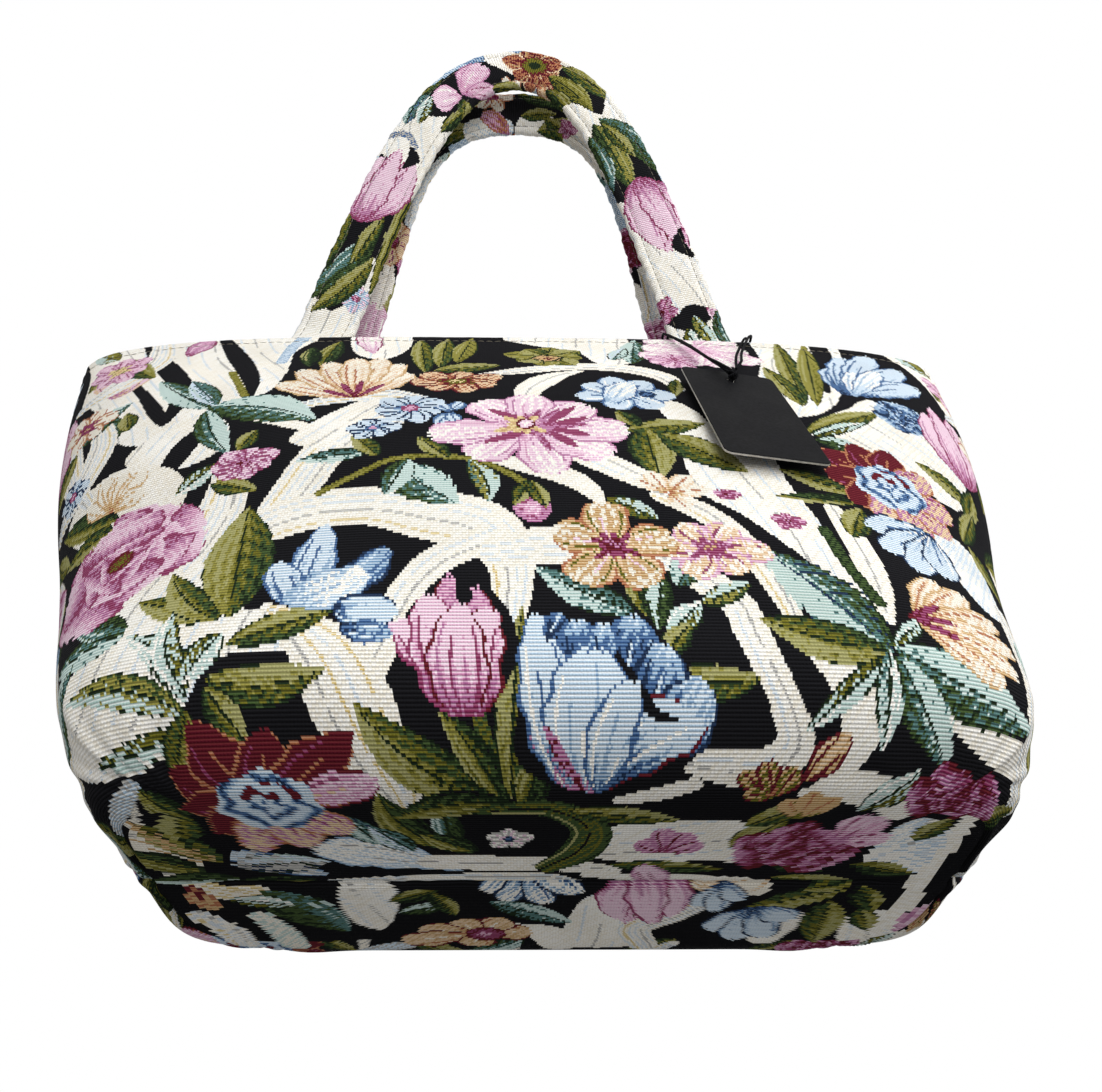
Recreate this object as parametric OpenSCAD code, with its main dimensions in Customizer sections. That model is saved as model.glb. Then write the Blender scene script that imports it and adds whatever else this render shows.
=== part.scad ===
// Soft jacquard tote handbag with two arched strap handles and a hang tag.
// +Z is up, the front faces -Y, and the origin is the middle of the flat base.
// All sizes are in millimetres and all angles in degrees.

/* [Bag body] */
// Height from the flat base to the mouth's edge
body_h = 220; // [180:1:260]
// Length of the bag along X at the base, before its ends tuck in
base_len = 231; // [190:1:270]
// Depth of the bag along Y at the base, before its edge rounds over
base_depth = 147; // [120:1:175]
// Width of the mouth along X
mouth_w = 360; // [300:1:420]
// Depth of the open mouth along Y
mouth_depth = 48; // [38:1:70]
// How far the sides swell out at half height
side_swell = 13; // [0:0.5:25]
// How far the front and the back swell out at half height
front_swell = 13; // [0:0.5:25]
// Radius of the soft edge between the base and the front or back
edge_r = 29; // [18:0.5:40]
// How far the ends of the base tuck in below the sides
end_tuck = 7; // [0:0.5:20]
// How far the mouth slumps sideways along X
mouth_shift = -16; // [-25:0.5:25]
// Squareness of the base's outline, 2 is an ellipse
base_square = 6.6; // [3:0.1:9]
// Squareness of the belly's outline
belly_square = 2.3; // [2:0.1:4]
// Squareness of the mouth's outline
mouth_square = 3; // [2:0.1:5]
// Height share of the roundest belly
belly_at = 0.45; // [0.3:0.01:0.7]

/* [Cloth] */
// Thickness of the jacquard with its interfacing
cloth_t = 1.6; // [1:0.1:2.5]
// Height of the turned-in hem at the mouth
hem_h = 28; // [20:1:40]
// Thickness that the turned-in hem adds on the inside
hem_t = 1.1; // [0.8:0.1:2]
// Thickness of the lining
lining_t = 0.8; // [0.5:0.1:1.5]
// Room between two layers of cloth
layer_gap = 0.15; // [0.1:0.05:0.4]

/* [Handles] */
// Width of the folded strap
strap_w = 24.5; // [18:0.5:30]
// Thickness of the folded strap along its arch
strap_t = 5.5; // [3:0.1:8]
// Thickness of the strap's flat end, sewn inside the hem
tab_t = 3; // [2:0.1:5]
// Length of the strap's flat end below the mouth's edge
tab_len = 24; // [14:1:30]
// Distance between the middles of a handle's two legs at the mouth
handle_span = 165.5; // [130:0.5:200]
// Rise of the handle's middle line above the mouth, along its lean
handle_rise = 169; // [130:1:200]
// Lean of each leg towards the other at the mouth
leg_lean = 14; // [5:1:25]
// Length over which a leg stays straight before it bends
leg_reach = 102; // [70:1:120]
// Length over which the crown of the front handle stays flat
front_crown = 40; // [20:1:60]
// Length over which the crown of the rear handle stays flat
rear_crown = 66; // [40:1:80]
// Forward lean of the front handle
front_lean = 20; // [5:1:40]
// Forward lean of the rear handle
rear_lean = 24; // [10:1:40]
// Length of strap above the mouth that takes up the lean
bend_len = 19; // [12:1:30]
// Room between a strap's flat end and the hem
strap_gap = 0.3; // [0.2:0.05:0.6]

/* [Hang tag] */
// Width of the card
tag_w = 34; // [25:1:50]
// Length of the card
tag_h = 65; // [45:1:75]
// Thickness of the card
tag_t = 0.8; // [0.5:0.1:1.5]
// Radius of the card's corners
tag_corner_r = 2.5; // [1:0.5:5]
// Radius of the hole for the cord
hole_r = 1.6; // [1.5:0.1:2.5]
// Distance from the card's top edge to the middle of the hole
hole_drop = 7; // [5:0.5:10]
// Place of the hole along X
tag_x = 61.5; // [50:0.5:70]
// Height of the hole
tag_z = 157; // [150:1:165]
// Distance from the panel to the card's back at the hole
tag_stand = 2.8; // [2.4:0.1:4]
// Tilt of the card, to lie along the sloping front
tag_tilt = 14.5; // [13:0.5:18]
// Turn of the card about the upright, to follow the front's curve
tag_turn = 10; // [8:1:12]
// Swing of the card to its right at rest
tag_roll = 2; // [0:1:6]

/* [Cord] */
// Diameter of the tag's cord
cord_d = 1.1; // [0.8:0.1:1.4]
// Radius of the knot in front of the hole
knot_r = 2.3; // [2:0.1:3]
// Radius of the flat turn of cord behind the hole
turn_r = 2.6; // [2.2:0.1:3]
// Thickness of that flat turn
turn_t = 0.7; // [0.5:0.1:0.9]
// Room between the knot and the card
knot_gap = 0.3; // [0.2:0.05:0.4]

/* [Hidden] */

cloth_color = "dimgray";
lining_color = "tan";
card_color = "black";

// Number of steps along a half outline, over the base, round its edge and up the wall
outline_steps = 32;
base_steps = 3;
edge_steps = 5;
wall_steps = 11;
// Height of the slanted step where the hem's turned-in layer begins
hem_step = 0.6;
// Number of rings along a handle and of points round its section
arch_steps = 34;
bend_steps = 5;
strap_sides = 12;
// Squareness of the strap's section
strap_square = 3.2;
cord_sides = 8;
hem_inset = cloth_t + hem_t;
lining_inset = cloth_t + layer_gap;
// Half-length of the middle line from which the base's loops grow
base_line = base_len / 2 - base_depth / 2;
// Room round the cord in the hole, and how far the knot settles into it
stem_gap = 0.5;
knot_sink = 0.4;
// Number of short lengths that a strap's bend is added up from
bend_parts = 12;

// Routes of the two strands of the tag's cord, each from the knot, up the front, over the mouth's edge,
// behind the front handle's leg and back to the knot
strand_1 = [[61.6, -51.2, 159.6], [59.6, -50.2, 165], [58, -47.6, 171.5], [56.6, -44.4, 179],
            [55.2, -40.2, 188.4], [53.8, -35.8, 198], [52, -31.6, 207], [50.6, -28.4, 213.5],
            [49.5, -26, 218], [48.8, -24.4, 220.6], [48.6, -22.6, 221.2], [49, -20.4, 221.3],
            [50.4, -17.4, 221.2], [53, -15.2, 221.2], [58, -14.8, 221.2], [63, -14.8, 221.2],
            [68, -14.8, 221.2], [73, -14.8, 221.2], [78, -14.6, 221.2], [80.6, -16.8, 221.2],
            [81.6, -19.8, 221.2], [81.6, -22.4, 221.1], [81, -24, 220.4], [79.6, -25.8, 217.4],
            [77.6, -28.8, 211.5], [74.8, -32.8, 203], [72, -36.8, 194], [69, -41.4, 184],
            [66.8, -45.6, 174.5], [65, -49.6, 165.5], [63.4, -51.2, 159.6]];
strand_2 = [[61.5, -52.9, 160], [58, -51.4, 166], [56.2, -48.4, 172.5], [54.8, -45, 180],
            [53.2, -40.8, 189.4], [51.8, -36, 199], [50, -31.8, 208], [48.6, -28.8, 214.5],
            [47.5, -26.4, 219], [46.8, -24.8, 221.8], [46.7, -22.8, 222.7], [47.2, -20.2, 222.8],
            [49, -17, 222.8], [52.4, -14, 222.8], [58, -13.4, 222.8], [63, -13.3, 222.8],
            [68, -13.3, 222.8], [73, -13.4, 222.8], [78.6, -13.2, 222.8], [82, -15.8, 222.8],
            [83.4, -19.2, 222.8], [83.6, -22.4, 222.6], [83.2, -24.4, 221.5], [81.6, -26.2, 218.4],
            [79.6, -29.2, 212.5], [76.8, -33.2, 204], [74, -37.2, 195], [71, -41.8, 185],
            [68.8, -46.2, 175.5], [66.6, -51.4, 166.5], [63.5, -52.9, 160]];

function mix(a, b, t) = a + (b - a) * t;
function power(v, e) = sign(v) * pow(abs(v), e);
function unit(v) = v / norm(v);

// Share of the edge's radius that the soft edge takes off at height z
function edge_cut(z) = let (k = max(0, 1 - z / edge_r)) 1 - sqrt(max(0, 1 - k * k));
// Middle, half-width, half-depth and squareness of the outline at height z
function mid_x(z) = mouth_shift * z / body_h;
function half_w(z) = let (w = z / body_h)
    mix(base_len, mouth_w, w) / 2 + side_swell * sin(180 * w) - end_tuck * edge_cut(z);
function half_d(z) = let (w = z / body_h)
    mix(base_depth, mouth_depth, w) / 2 + front_swell * sin(180 * w) - edge_r * edge_cut(z);
function squareness(z) = let (w = z / body_h)
    w < belly_at ? belly_square + (base_square - belly_square) * pow(1 - w / belly_at, 2)
                 : mix(belly_square, mouth_square, (w - belly_at) / (1 - belly_at));

// Depth of the front's face at x and height z, inset by a thickness
function front_y(x, z, inset = 0) = let (n = squareness(z), r = abs(x - mid_x(z)) / (half_w(z) - inset))
    -(half_d(z) - inset) * pow(1 - pow(r, n), 1 / n);

// Point of the outline at height z in direction t, where 0 is +X and 90 is the front
function outline_pt(z, t, inset) =
    let (n = squareness(z), k = max(0, 1 - z / edge_r), flat = sqrt(max(0, 1 - k * k)),
         rho = 1 / pow(pow(abs(cos(t)), n) + pow(abs(sin(t)), n), 1 / n))
    [mid_x(z) + (half_w(z) - inset * flat) * rho * cos(t),
     -(half_d(z) - inset * flat) * rho * sin(t),
     z + inset * k];
// Point of the base at share f from its middle line to its outline, for step j of a half outline from t0
function base_pt(f, j, t0, inset) =
    let (edge = outline_pt(0, t0 + 180 * j / outline_steps, inset),
         along = (1 - 2 * j / outline_steps) * cos(t0))
    [mix(base_line * along, edge[0], f), f * edge[1], inset];

// Heights of the wall's rows from the base's edge to a top
function edge_rows() = [for (i = [1:edge_steps]) edge_r * (1 - cos(90 * i / edge_steps))];
function wall_rows(top) = [for (i = [1:wall_steps]) mix(edge_r, top, i / wall_steps)];

// Grid of points, one row for each loop of the base and each height of the wall, given as [z, inset]
function sheet_grid(rows, base_inset, t0) = concat(
    [for (i = [0:base_steps]) [for (j = [0:outline_steps])
        base_pt(i / base_steps, j, t0, base_inset)]],
    [for (r = rows) [for (j = [0:outline_steps]) outline_pt(r[0], t0 + 180 * j / outline_steps, r[1])]]);

function quad(a, b, c, d) = [[a, b, c], [a, c, d]];

// Two triangles of the grid cell whose corners are a to d, split so that a sheet's halves mirror each other
function cell(a, b, c, d, mirrored) = mirrored ? [[a, b, d], [b, c, d]] : [[a, b, c], [a, c, d]];
function flipped(faces) = [for (f = faces) [f[0], f[2], f[1]]];

// Closed sheet between an outer and an inner grid of points
module sheet(outer, inner) {
    rows = len(outer);
    cols = len(outer[0]);
    n = rows * cols;
    skin = [for (i = [0:rows - 2], j = [0:cols - 2]) let (a = i * cols + j)
        each cell(a, a + 1, a + cols + 1, a + cols, j >= (cols - 1) / 2)];
    faces = concat(
        skin,
        flipped([for (f = skin) [f[0] + n, f[1] + n, f[2] + n]]),
        [for (i = [0:rows - 2], j = [0, cols - 1]) let (a = i * cols + j)
            each j == 0 ? quad(a, a + cols, n + a + cols, n + a)
                        : quad(a, n + a, n + a + cols, a + cols)],
        [for (j = [0:cols - 2], i = [0, rows - 1]) let (a = i * cols + j)
            each i == 0 ? quad(a, n + a, n + a + 1, a + 1)
                        : quad(a, a + 1, n + a + 1, n + a)]);
    polyhedron(concat([for (r = outer) each r], [for (r = inner) each r]), faces, convexity = 6);
}

// One jacquard panel with its turned-in hem, from direction t0 half way round
module panel(t0) {
    hem_z = body_h - hem_h;
    heights = concat(edge_rows(), wall_rows(hem_z - hem_step), [hem_z, (hem_z + body_h) / 2, body_h]);
    outer = sheet_grid([for (z = heights) [z, 0]], 0, t0);
    inner = sheet_grid([for (z = heights) [z, z < hem_z ? cloth_t : hem_inset]], cloth_t, t0);
    sheet(outer, inner);
}

// One half of the lining, up to the hem
module lining(t0) {
    heights = concat(edge_rows(), wall_rows(body_h - hem_h - hem_step - layer_gap));
    outer = sheet_grid([for (z = heights) [z, lining_inset]], lining_inset, t0);
    inner = sheet_grid([for (z = heights) [z, lining_inset + lining_t]], lining_inset + lining_t, t0);
    sheet(outer, inner);
}

// Slope of the front's inner face under the mouth's edge, at the outer edge of a handle's leg
leg_edge_x = mid_x(body_h) + (handle_span + strap_w) / 2 + tab_len * tan(leg_lean);
function hem_y(z) = front_y(leg_edge_x, z, hem_inset);
hem_slope = atan((hem_y(body_h) - hem_y(body_h - tab_len)) / tab_len);
seat = (strap_gap + tab_t / 2) / cos(hem_slope);

// Side view of a strap at length s above the mouth: its place along Y, its height and its backward lean,
// for a strap that leaves the hem with lean a0 and ends with lean a1
function bend_angle(s, a0, a1) = mix(a0, a1, min(1, max(0, s / bend_len)));
function bend_part(s, a0, a1) = let (n = bend_parts, top = min(s, bend_len))
    s <= 0 ? s * [sin(a0), cos(a0)]
           : sum([for (i = [1:n]) let (a = bend_angle((i - 0.5) / n * top, a0, a1))
                  [sin(a), cos(a)] * top / n])
             + (s - top) * [sin(a1), cos(a1)];
function sum(v, i = 0) = i == len(v) - 1 ? v[i] : v[i] + sum(v, i + 1);

// Middle line of a handle's right half in its own plane, [distance from the middle, length above the mouth]
function arch_pt(t, crown) = pow(1 - t, 3) * [handle_span / 2, 0]
    + 3 * t * pow(1 - t, 2) * [handle_span / 2 - leg_reach * tan(leg_lean), leg_reach]
    + 3 * t * t * (1 - t) * [crown, handle_rise] + pow(t, 3) * [0, handle_rise];
function leg_pt(s) = [handle_span / 2 - s * tan(leg_lean), s];
function half_arch(crown) = concat([for (i = [0:bend_steps]) leg_pt(-tab_len * (1 - i / bend_steps))],
                                   [for (i = [1:arch_steps / 2]) arch_pt(i / (arch_steps / 2), crown)]);
function whole_arch(half) = concat(half, [for (i = [len(half) - 2:-1:0]) [-half[i][0], half[i][1]]]);

// Thickness of the strap at length s above the mouth, thin in the hem and full above the bend
function strap_depth(s) = let (t = min(1, max(0, s / bend_len))) mix(tab_t, strap_t, t * t * (3 - 2 * t));

// One ring of points round the strap at point i of an arch
function strap_ring(arch, i, y0, a0, a1) =
    let (p = arch[i], along = unit(arch[min(len(arch) - 1, i + 1)] - arch[max(0, i - 1)]),
         side = bend_part(p[1], a0, a1), a = bend_angle(p[1], a0, a1),
         mid = [mid_x(body_h) + p[0], y0 + side[0], body_h + side[1]],
         across = [along[1], -along[0] * sin(a), -along[0] * cos(a)], out = [0, -cos(a), sin(a)])
    [for (k = [0:strap_sides - 1]) let (t = 360 * (k + 0.5) / strap_sides)
        mid + across * strap_w / 2 * power(cos(t), 2 / strap_square)
            + out * strap_depth(p[1]) / 2 * power(sin(t), 2 / strap_square)];

// Closed tube through rings of points
module tube(rings) {
    n = len(rings[0]);
    last = (len(rings) - 1) * n;
    faces = concat(
        [for (i = [0:len(rings) - 2], k = [0:n - 1]) let (a = i * n + k, b = i * n + (k + 1) % n)
            each quad(a, b, b + n, a + n)],
        [[for (k = [n - 1:-1:0]) k]],
        [[for (k = [0:n - 1]) last + k]]);
    polyhedron([for (r = rings) each r], faces, convexity = 6);
}

// A whole handle whose flat ends lie at y0 with lean a0, and whose arch leans by a1 and is flat over a crown
module handle(y0, a0, a1, crown) {
    arch = whole_arch(half_arch(crown));
    tube([for (i = [0:len(arch) - 1]) strap_ring(arch, i, y0, a0, a1)]);
}

// Directions along a cord, and a cross direction carried along it without twist
function along_at(route, i) = unit(route[min(len(route) - 1, i + 1)] - route[max(0, i - 1)]);
function carried(v, along) = unit(v - along * (v * along));
module cord(route) {
    count = len(route);
    crosses = [for (i = 0, v = carried([1, 0, 0], along_at(route, 0)); i < count;
                    i = i + 1, v = i < count ? carried(v, along_at(route, i)) : v) v];
    tube([for (i = [0:count - 1]) let (v = crosses[i], w = cross(v, along_at(route, i)))
        [for (k = [0:cord_sides - 1]) let (t = 360 * k / cord_sides)
            route[i] + (v * cos(t) + w * sin(t)) * cord_d / 2]]);
}

// Places children in the frame of the hang tag: its hole at the origin, its back at z 0, its face towards +z
module at_tag() {
    translate([tag_x, front_y(tag_x, tag_z), tag_z]) rotate([90 - tag_tilt, 0, tag_turn])
        translate([0, 0, tag_stand]) children();
}

module rounded_plate(w, h, r) {
    translate([-w / 2, r]) square([w, h - 2 * r]);
    translate([r - w / 2, 0]) square([w - 2 * r, h]);
    for (x = [r - w / 2, w / 2 - r], y = [r, h - r]) translate([x, y]) circle(r, $fn = 48);
}

module front_panel() { color(cloth_color) panel(0); }
module back_panel() { color(cloth_color) panel(180); }
module front_lining() { color(lining_color) lining(0); }
module back_lining() { color(lining_color) lining(180); }
module front_handle() {
    color(cloth_color) handle(hem_y(body_h) + seat, hem_slope, -front_lean, front_crown);
}
module rear_handle() {
    color(cloth_color) handle(-hem_y(body_h) - seat, -hem_slope, -rear_lean, rear_crown);
}

module hang_tag() {
    color(card_color) at_tag() rotate([0, 0, tag_roll]) difference() {
        translate([0, hole_drop - tag_h, 0]) linear_extrude(tag_t) rounded_plate(tag_w, tag_h, tag_corner_r);
        translate([0, 0, -1]) cylinder(r = hole_r, h = tag_t + 2, $fn = 48);
    }
}

module tag_cord() { color(card_color) { cord(strand_1); cord(strand_2); } }

module tag_knot() {
    ball_z = tag_t + knot_gap + knot_r - knot_sink;
    color(card_color) at_tag() {
        translate([0, 0, -knot_gap - turn_t]) cylinder(r = turn_r, h = turn_t, $fn = 48);
        translate([0, 0, -knot_gap - turn_t / 2])
            cylinder(r = hole_r - stem_gap, h = ball_z + knot_gap, $fn = 48);
        translate([0, 0, ball_z]) sphere(knot_r, $fn = 48);
    }
}

front_panel();
back_panel();
front_lining();
back_lining();
front_handle();
rear_handle();
hang_tag();
tag_cord();
tag_knot();
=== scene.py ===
"""A soft jacquard tote: woven panels, straps, lining, hang tag and cord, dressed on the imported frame."""
import math

import bpy
import numpy as np
from mathutils import Matrix, Vector


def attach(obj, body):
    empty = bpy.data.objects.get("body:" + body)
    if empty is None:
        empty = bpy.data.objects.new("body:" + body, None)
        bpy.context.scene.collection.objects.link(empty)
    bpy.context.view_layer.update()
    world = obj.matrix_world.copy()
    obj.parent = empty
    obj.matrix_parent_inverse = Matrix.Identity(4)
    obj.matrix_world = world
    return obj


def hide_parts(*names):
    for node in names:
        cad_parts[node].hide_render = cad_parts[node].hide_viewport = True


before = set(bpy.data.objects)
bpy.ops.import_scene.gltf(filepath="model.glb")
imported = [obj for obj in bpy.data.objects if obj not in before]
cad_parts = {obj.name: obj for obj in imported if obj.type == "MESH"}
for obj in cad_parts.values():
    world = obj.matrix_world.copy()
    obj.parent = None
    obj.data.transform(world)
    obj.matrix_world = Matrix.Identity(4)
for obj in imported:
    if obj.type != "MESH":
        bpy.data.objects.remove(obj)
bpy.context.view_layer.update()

# Lengths are in millimetres and angles in degrees until a mesh is made
MM = 0.001

# Bag body, as the frame has it
BODY_H = 220.0
BASE_LEN = 231.0
BASE_DEPTH = 147.0
MOUTH_W = 360.0
MOUTH_DEPTH = 48.0
SIDE_SWELL = 13.0
FRONT_SWELL = 13.0
EDGE_R = 29.0
END_TUCK = 7.0
MOUTH_SHIFT = -16.0
BASE_SQUARE = 6.6
BELLY_SQUARE = 2.3
MOUTH_SQUARE = 3.0
BELLY_AT = 0.45
BASE_LINE = (BASE_LEN - BASE_DEPTH) / 2
HEM_H = 28.0
HEM_INSET = 2.7
LINING_T = 0.8
LINING_INSET = 1.75
LINING_TOP = 191.0
LINING_COLUMNS = 120
LINING_ROW = 3.0
LINING_COUNT = 2.0

# Handles
STRAP_W = 24.5
STRAP_T = 5.5
TAB_T = 3.0
TAB_LEN = 24.0
HANDLE_SPAN = 165.5
HANDLE_RISE = 169.0
LEG_LEAN = 14.0
LEG_REACH = 102.0
FRONT_CROWN = 40.0
REAR_CROWN = 66.0
FRONT_LEAN = 20.0
REAR_LEAN = 24.0
BEND_LEN = 19.0
STRAP_GAP = 0.3

# Hang tag and cord
TAG_W = 34.0
TAG_H = 65.0
TAG_T = 0.8
TAG_CORNER_R = 2.5
HOLE_R = 1.6
HOLE_DROP = 7.0
TAG_X = 61.5
TAG_Z = 157.0
TAG_STAND = 2.8
TAG_TILT = 14.5
TAG_TURN = 10.0
TAG_ROLL = 2.0
TAG_RIM = 0.12
CORD_D = 1.1
CORD_SIDES = 12
CORD_PLY = 0.12
CORD_TWIST = 2.6
KNOT_R = 2.3
KNOT_SIDES = 10
STRAND_1 = [
    (61.6, -51.2, 159.6), (59.6, -50.2, 165), (58, -47.6, 171.5), (56.6, -44.4, 179), (55.2, -40.2, 188.4),
    (53.8, -35.8, 198), (52, -31.6, 207), (50.6, -28.4, 213.5), (49.5, -26, 218), (48.8, -24.4, 220.6),
    (48.6, -22.6, 221.2), (49, -20.4, 221.3), (50.4, -17.4, 221.2), (53, -15.2, 221.2), (58, -14.8, 221.2),
    (63, -14.8, 221.2), (68, -14.8, 221.2), (73, -14.8, 221.2), (78, -14.6, 221.2), (80.6, -16.8, 221.2),
    (81.6, -19.8, 221.2), (81.6, -22.4, 221.1), (81, -24, 220.4), (79.6, -25.8, 217.4), (77.6, -28.8, 211.5),
    (74.8, -32.8, 203), (72, -36.8, 194), (69, -41.4, 184), (66.8, -45.6, 174.5), (65, -49.6, 165.5),
    (63.4, -51.2, 159.6)]
STRAND_2 = [
    (61.5, -52.9, 160), (58, -51.4, 166), (56.2, -48.4, 172.5), (54.8, -45, 180), (53.2, -40.8, 189.4),
    (51.8, -36, 199), (50, -31.8, 208), (48.6, -28.8, 214.5), (47.5, -26.4, 219), (46.8, -24.8, 221.8),
    (46.7, -22.8, 222.7), (47.2, -20.2, 222.8), (49, -17, 222.8), (52.4, -14, 222.8), (58, -13.4, 222.8),
    (63, -13.3, 222.8), (68, -13.3, 222.8), (73, -13.4, 222.8), (78.6, -13.2, 222.8), (82, -15.8, 222.8),
    (83.4, -19.2, 222.8), (83.6, -22.4, 222.6), (83.2, -24.4, 221.5), (81.6, -26.2, 218.4),
    (79.6, -29.2, 212.5), (76.8, -33.2, 204), (74, -37.2, 195), (71, -41.8, 185), (68.8, -46.2, 175.5),
    (66.6, -51.4, 166.5), (63.5, -52.9, 160)]

# Weave: one cell is one weft row by one group of warps
WEFT = 1.05
WARP = 0.85
FRONT_COLUMNS = 624
BACK_COLUMNS = 416
REPEAT = 336.0
BACK_SHIFT = REPEAT / 2 + 9
OUTLINE_STEPS = 1441

# Camera, fitted to the photograph
IMAGE_W = 1102
CAM_TARGET = Vector((0.0, -22.0, 104.5))
CAM_AZIMUTH = -1.45
CAM_ELEVATION = -42.8
CAM_ROLL = -0.71
CAM_DISTANCE = 308.0
CAM_FOCAL_PX = 933.7
CAM_MIDDLE_PX = 552.9
SENSOR = 36.0


def sind(a):
    return np.sin(np.radians(a))


def cosd(a):
    return np.cos(np.radians(a))


def mix(a, b, t):
    return a + (b - a) * t


def smooth(lo, hi, x):
    t = np.clip((x - lo) / (hi - lo), 0, 1)
    return t * t * (3 - 2 * t)


# Camera

def make_camera():
    back = Vector((sind(CAM_AZIMUTH) * cosd(CAM_ELEVATION), -cosd(CAM_AZIMUTH) * cosd(CAM_ELEVATION),
                   sind(CAM_ELEVATION)))
    right = (-back).cross(Vector((0, 0, 1))).normalized()
    up = right.cross(-back)
    rolled = right * cosd(CAM_ROLL) + up * sind(CAM_ROLL)
    up = rolled.cross(-back)
    data = bpy.data.cameras.new("camera")
    data.sensor_width = SENSOR
    data.lens = SENSOR * CAM_FOCAL_PX / IMAGE_W
    data.shift_x = (IMAGE_W / 2 - CAM_MIDDLE_PX) / IMAGE_W
    data.clip_start = 0.01
    camera = bpy.data.objects.new("camera", data)
    place = (CAM_TARGET + back * CAM_DISTANCE) * MM
    camera.matrix_world = Matrix.Translation(place) @ Matrix((rolled, up, back)).transposed().to_4x4()
    bpy.context.scene.collection.objects.link(camera)
    bpy.context.scene.camera = camera


make_camera()


# Meshes

def mesh_object(name, points, faces, material, uv=None, colours=None, flat=False):
    """A mesh piece from points in mm, with a uv place for each corner and colours for each face."""
    mesh = bpy.data.meshes.new(name)
    mesh.from_pydata((np.asarray(points) * MM).tolist(), [], list(faces))
    if not flat:
        mesh.shade_smooth()
    if uv is not None:
        mesh.uv_layers.new(name="cloth").data.foreach_set("uv", np.asarray(uv, np.float32).ravel())
    for key, values in (colours or {}).items():
        layer = mesh.attributes.new(key, "FLOAT_COLOR", "FACE")
        layer.data.foreach_set("color", np.asarray(values, np.float32).ravel())
    for m in material if isinstance(material, (list, tuple)) else [material]:
        mesh.materials.append(m)
    piece = bpy.data.objects.new(name, mesh)
    bpy.context.scene.collection.objects.link(piece)
    return piece


def grid_faces(rows, cols, closed=False):
    """Quads of a grid of points, row by row. A closed grid joins its last column to its first."""
    i = np.arange(rows - 1)[:, None]
    j = np.arange(cols if closed else cols - 1)[None]
    k = (j + 1) % cols
    return np.stack([i * cols + j, i * cols + k, (i + 1) * cols + k, (i + 1) * cols + j], -1).reshape(-1, 4)


def corners(grid):
    """Values at the four corners of each cell of a grid, as grid_faces orders them."""
    around = [grid[:-1, :-1], grid[:-1, 1:], grid[1:, 1:], grid[1:, :-1]]
    return np.stack(around, 2).reshape(-1, 4, *grid.shape[2:])


def end_caps(rows, cols, start=0):
    """The two faces that close a tube of rings, whose first point has the number start."""
    first = list(range(start, start + cols))
    return [first[::-1], [k + (rows - 1) * cols for k in first]]


def grid_normals(p):
    du = np.gradient(p, axis=1)
    dv = np.gradient(p, axis=0)
    n = np.cross(du, dv)
    return n / np.maximum(np.linalg.norm(n, axis=-1, keepdims=True), 1e-9)


def lengths(points):
    """Running length along a row of points."""
    return np.concatenate([[0], np.cumsum(np.linalg.norm(np.diff(points, axis=0), axis=1))])


def resample(points, at):
    d = lengths(points)
    return np.stack([np.interp(at, d, points[:, k]) for k in range(points.shape[1])], -1)


def smooth_path(points, per=6):
    """A smooth curve through given points."""
    p = np.asarray(points, float)
    q = np.concatenate([2 * p[:1] - p[1:2], p, 2 * p[-1:] - p[-2:-1]])
    t = np.linspace(0, 1, per, endpoint=False)[:, None]
    parts = []
    for a, b, c, d in zip(q[:-3], q[1:-2], q[2:-1], q[3:]):
        parts.append(b + 0.5 * t * (c - a + t * (2 * a - 5 * b + 4 * c - d + t * (3 * (b - c) + d - a))))
    return np.concatenate(parts + [p[-1:]])


# Materials

def srgb(code):
    c = np.array([int(code[i:i + 2], 16) for i in (0, 2, 4)]) / 255
    return tuple(np.where(c <= 0.04045, c / 12.92, ((c + 0.055) / 1.055) ** 2.4)) + (1.0,)


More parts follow.
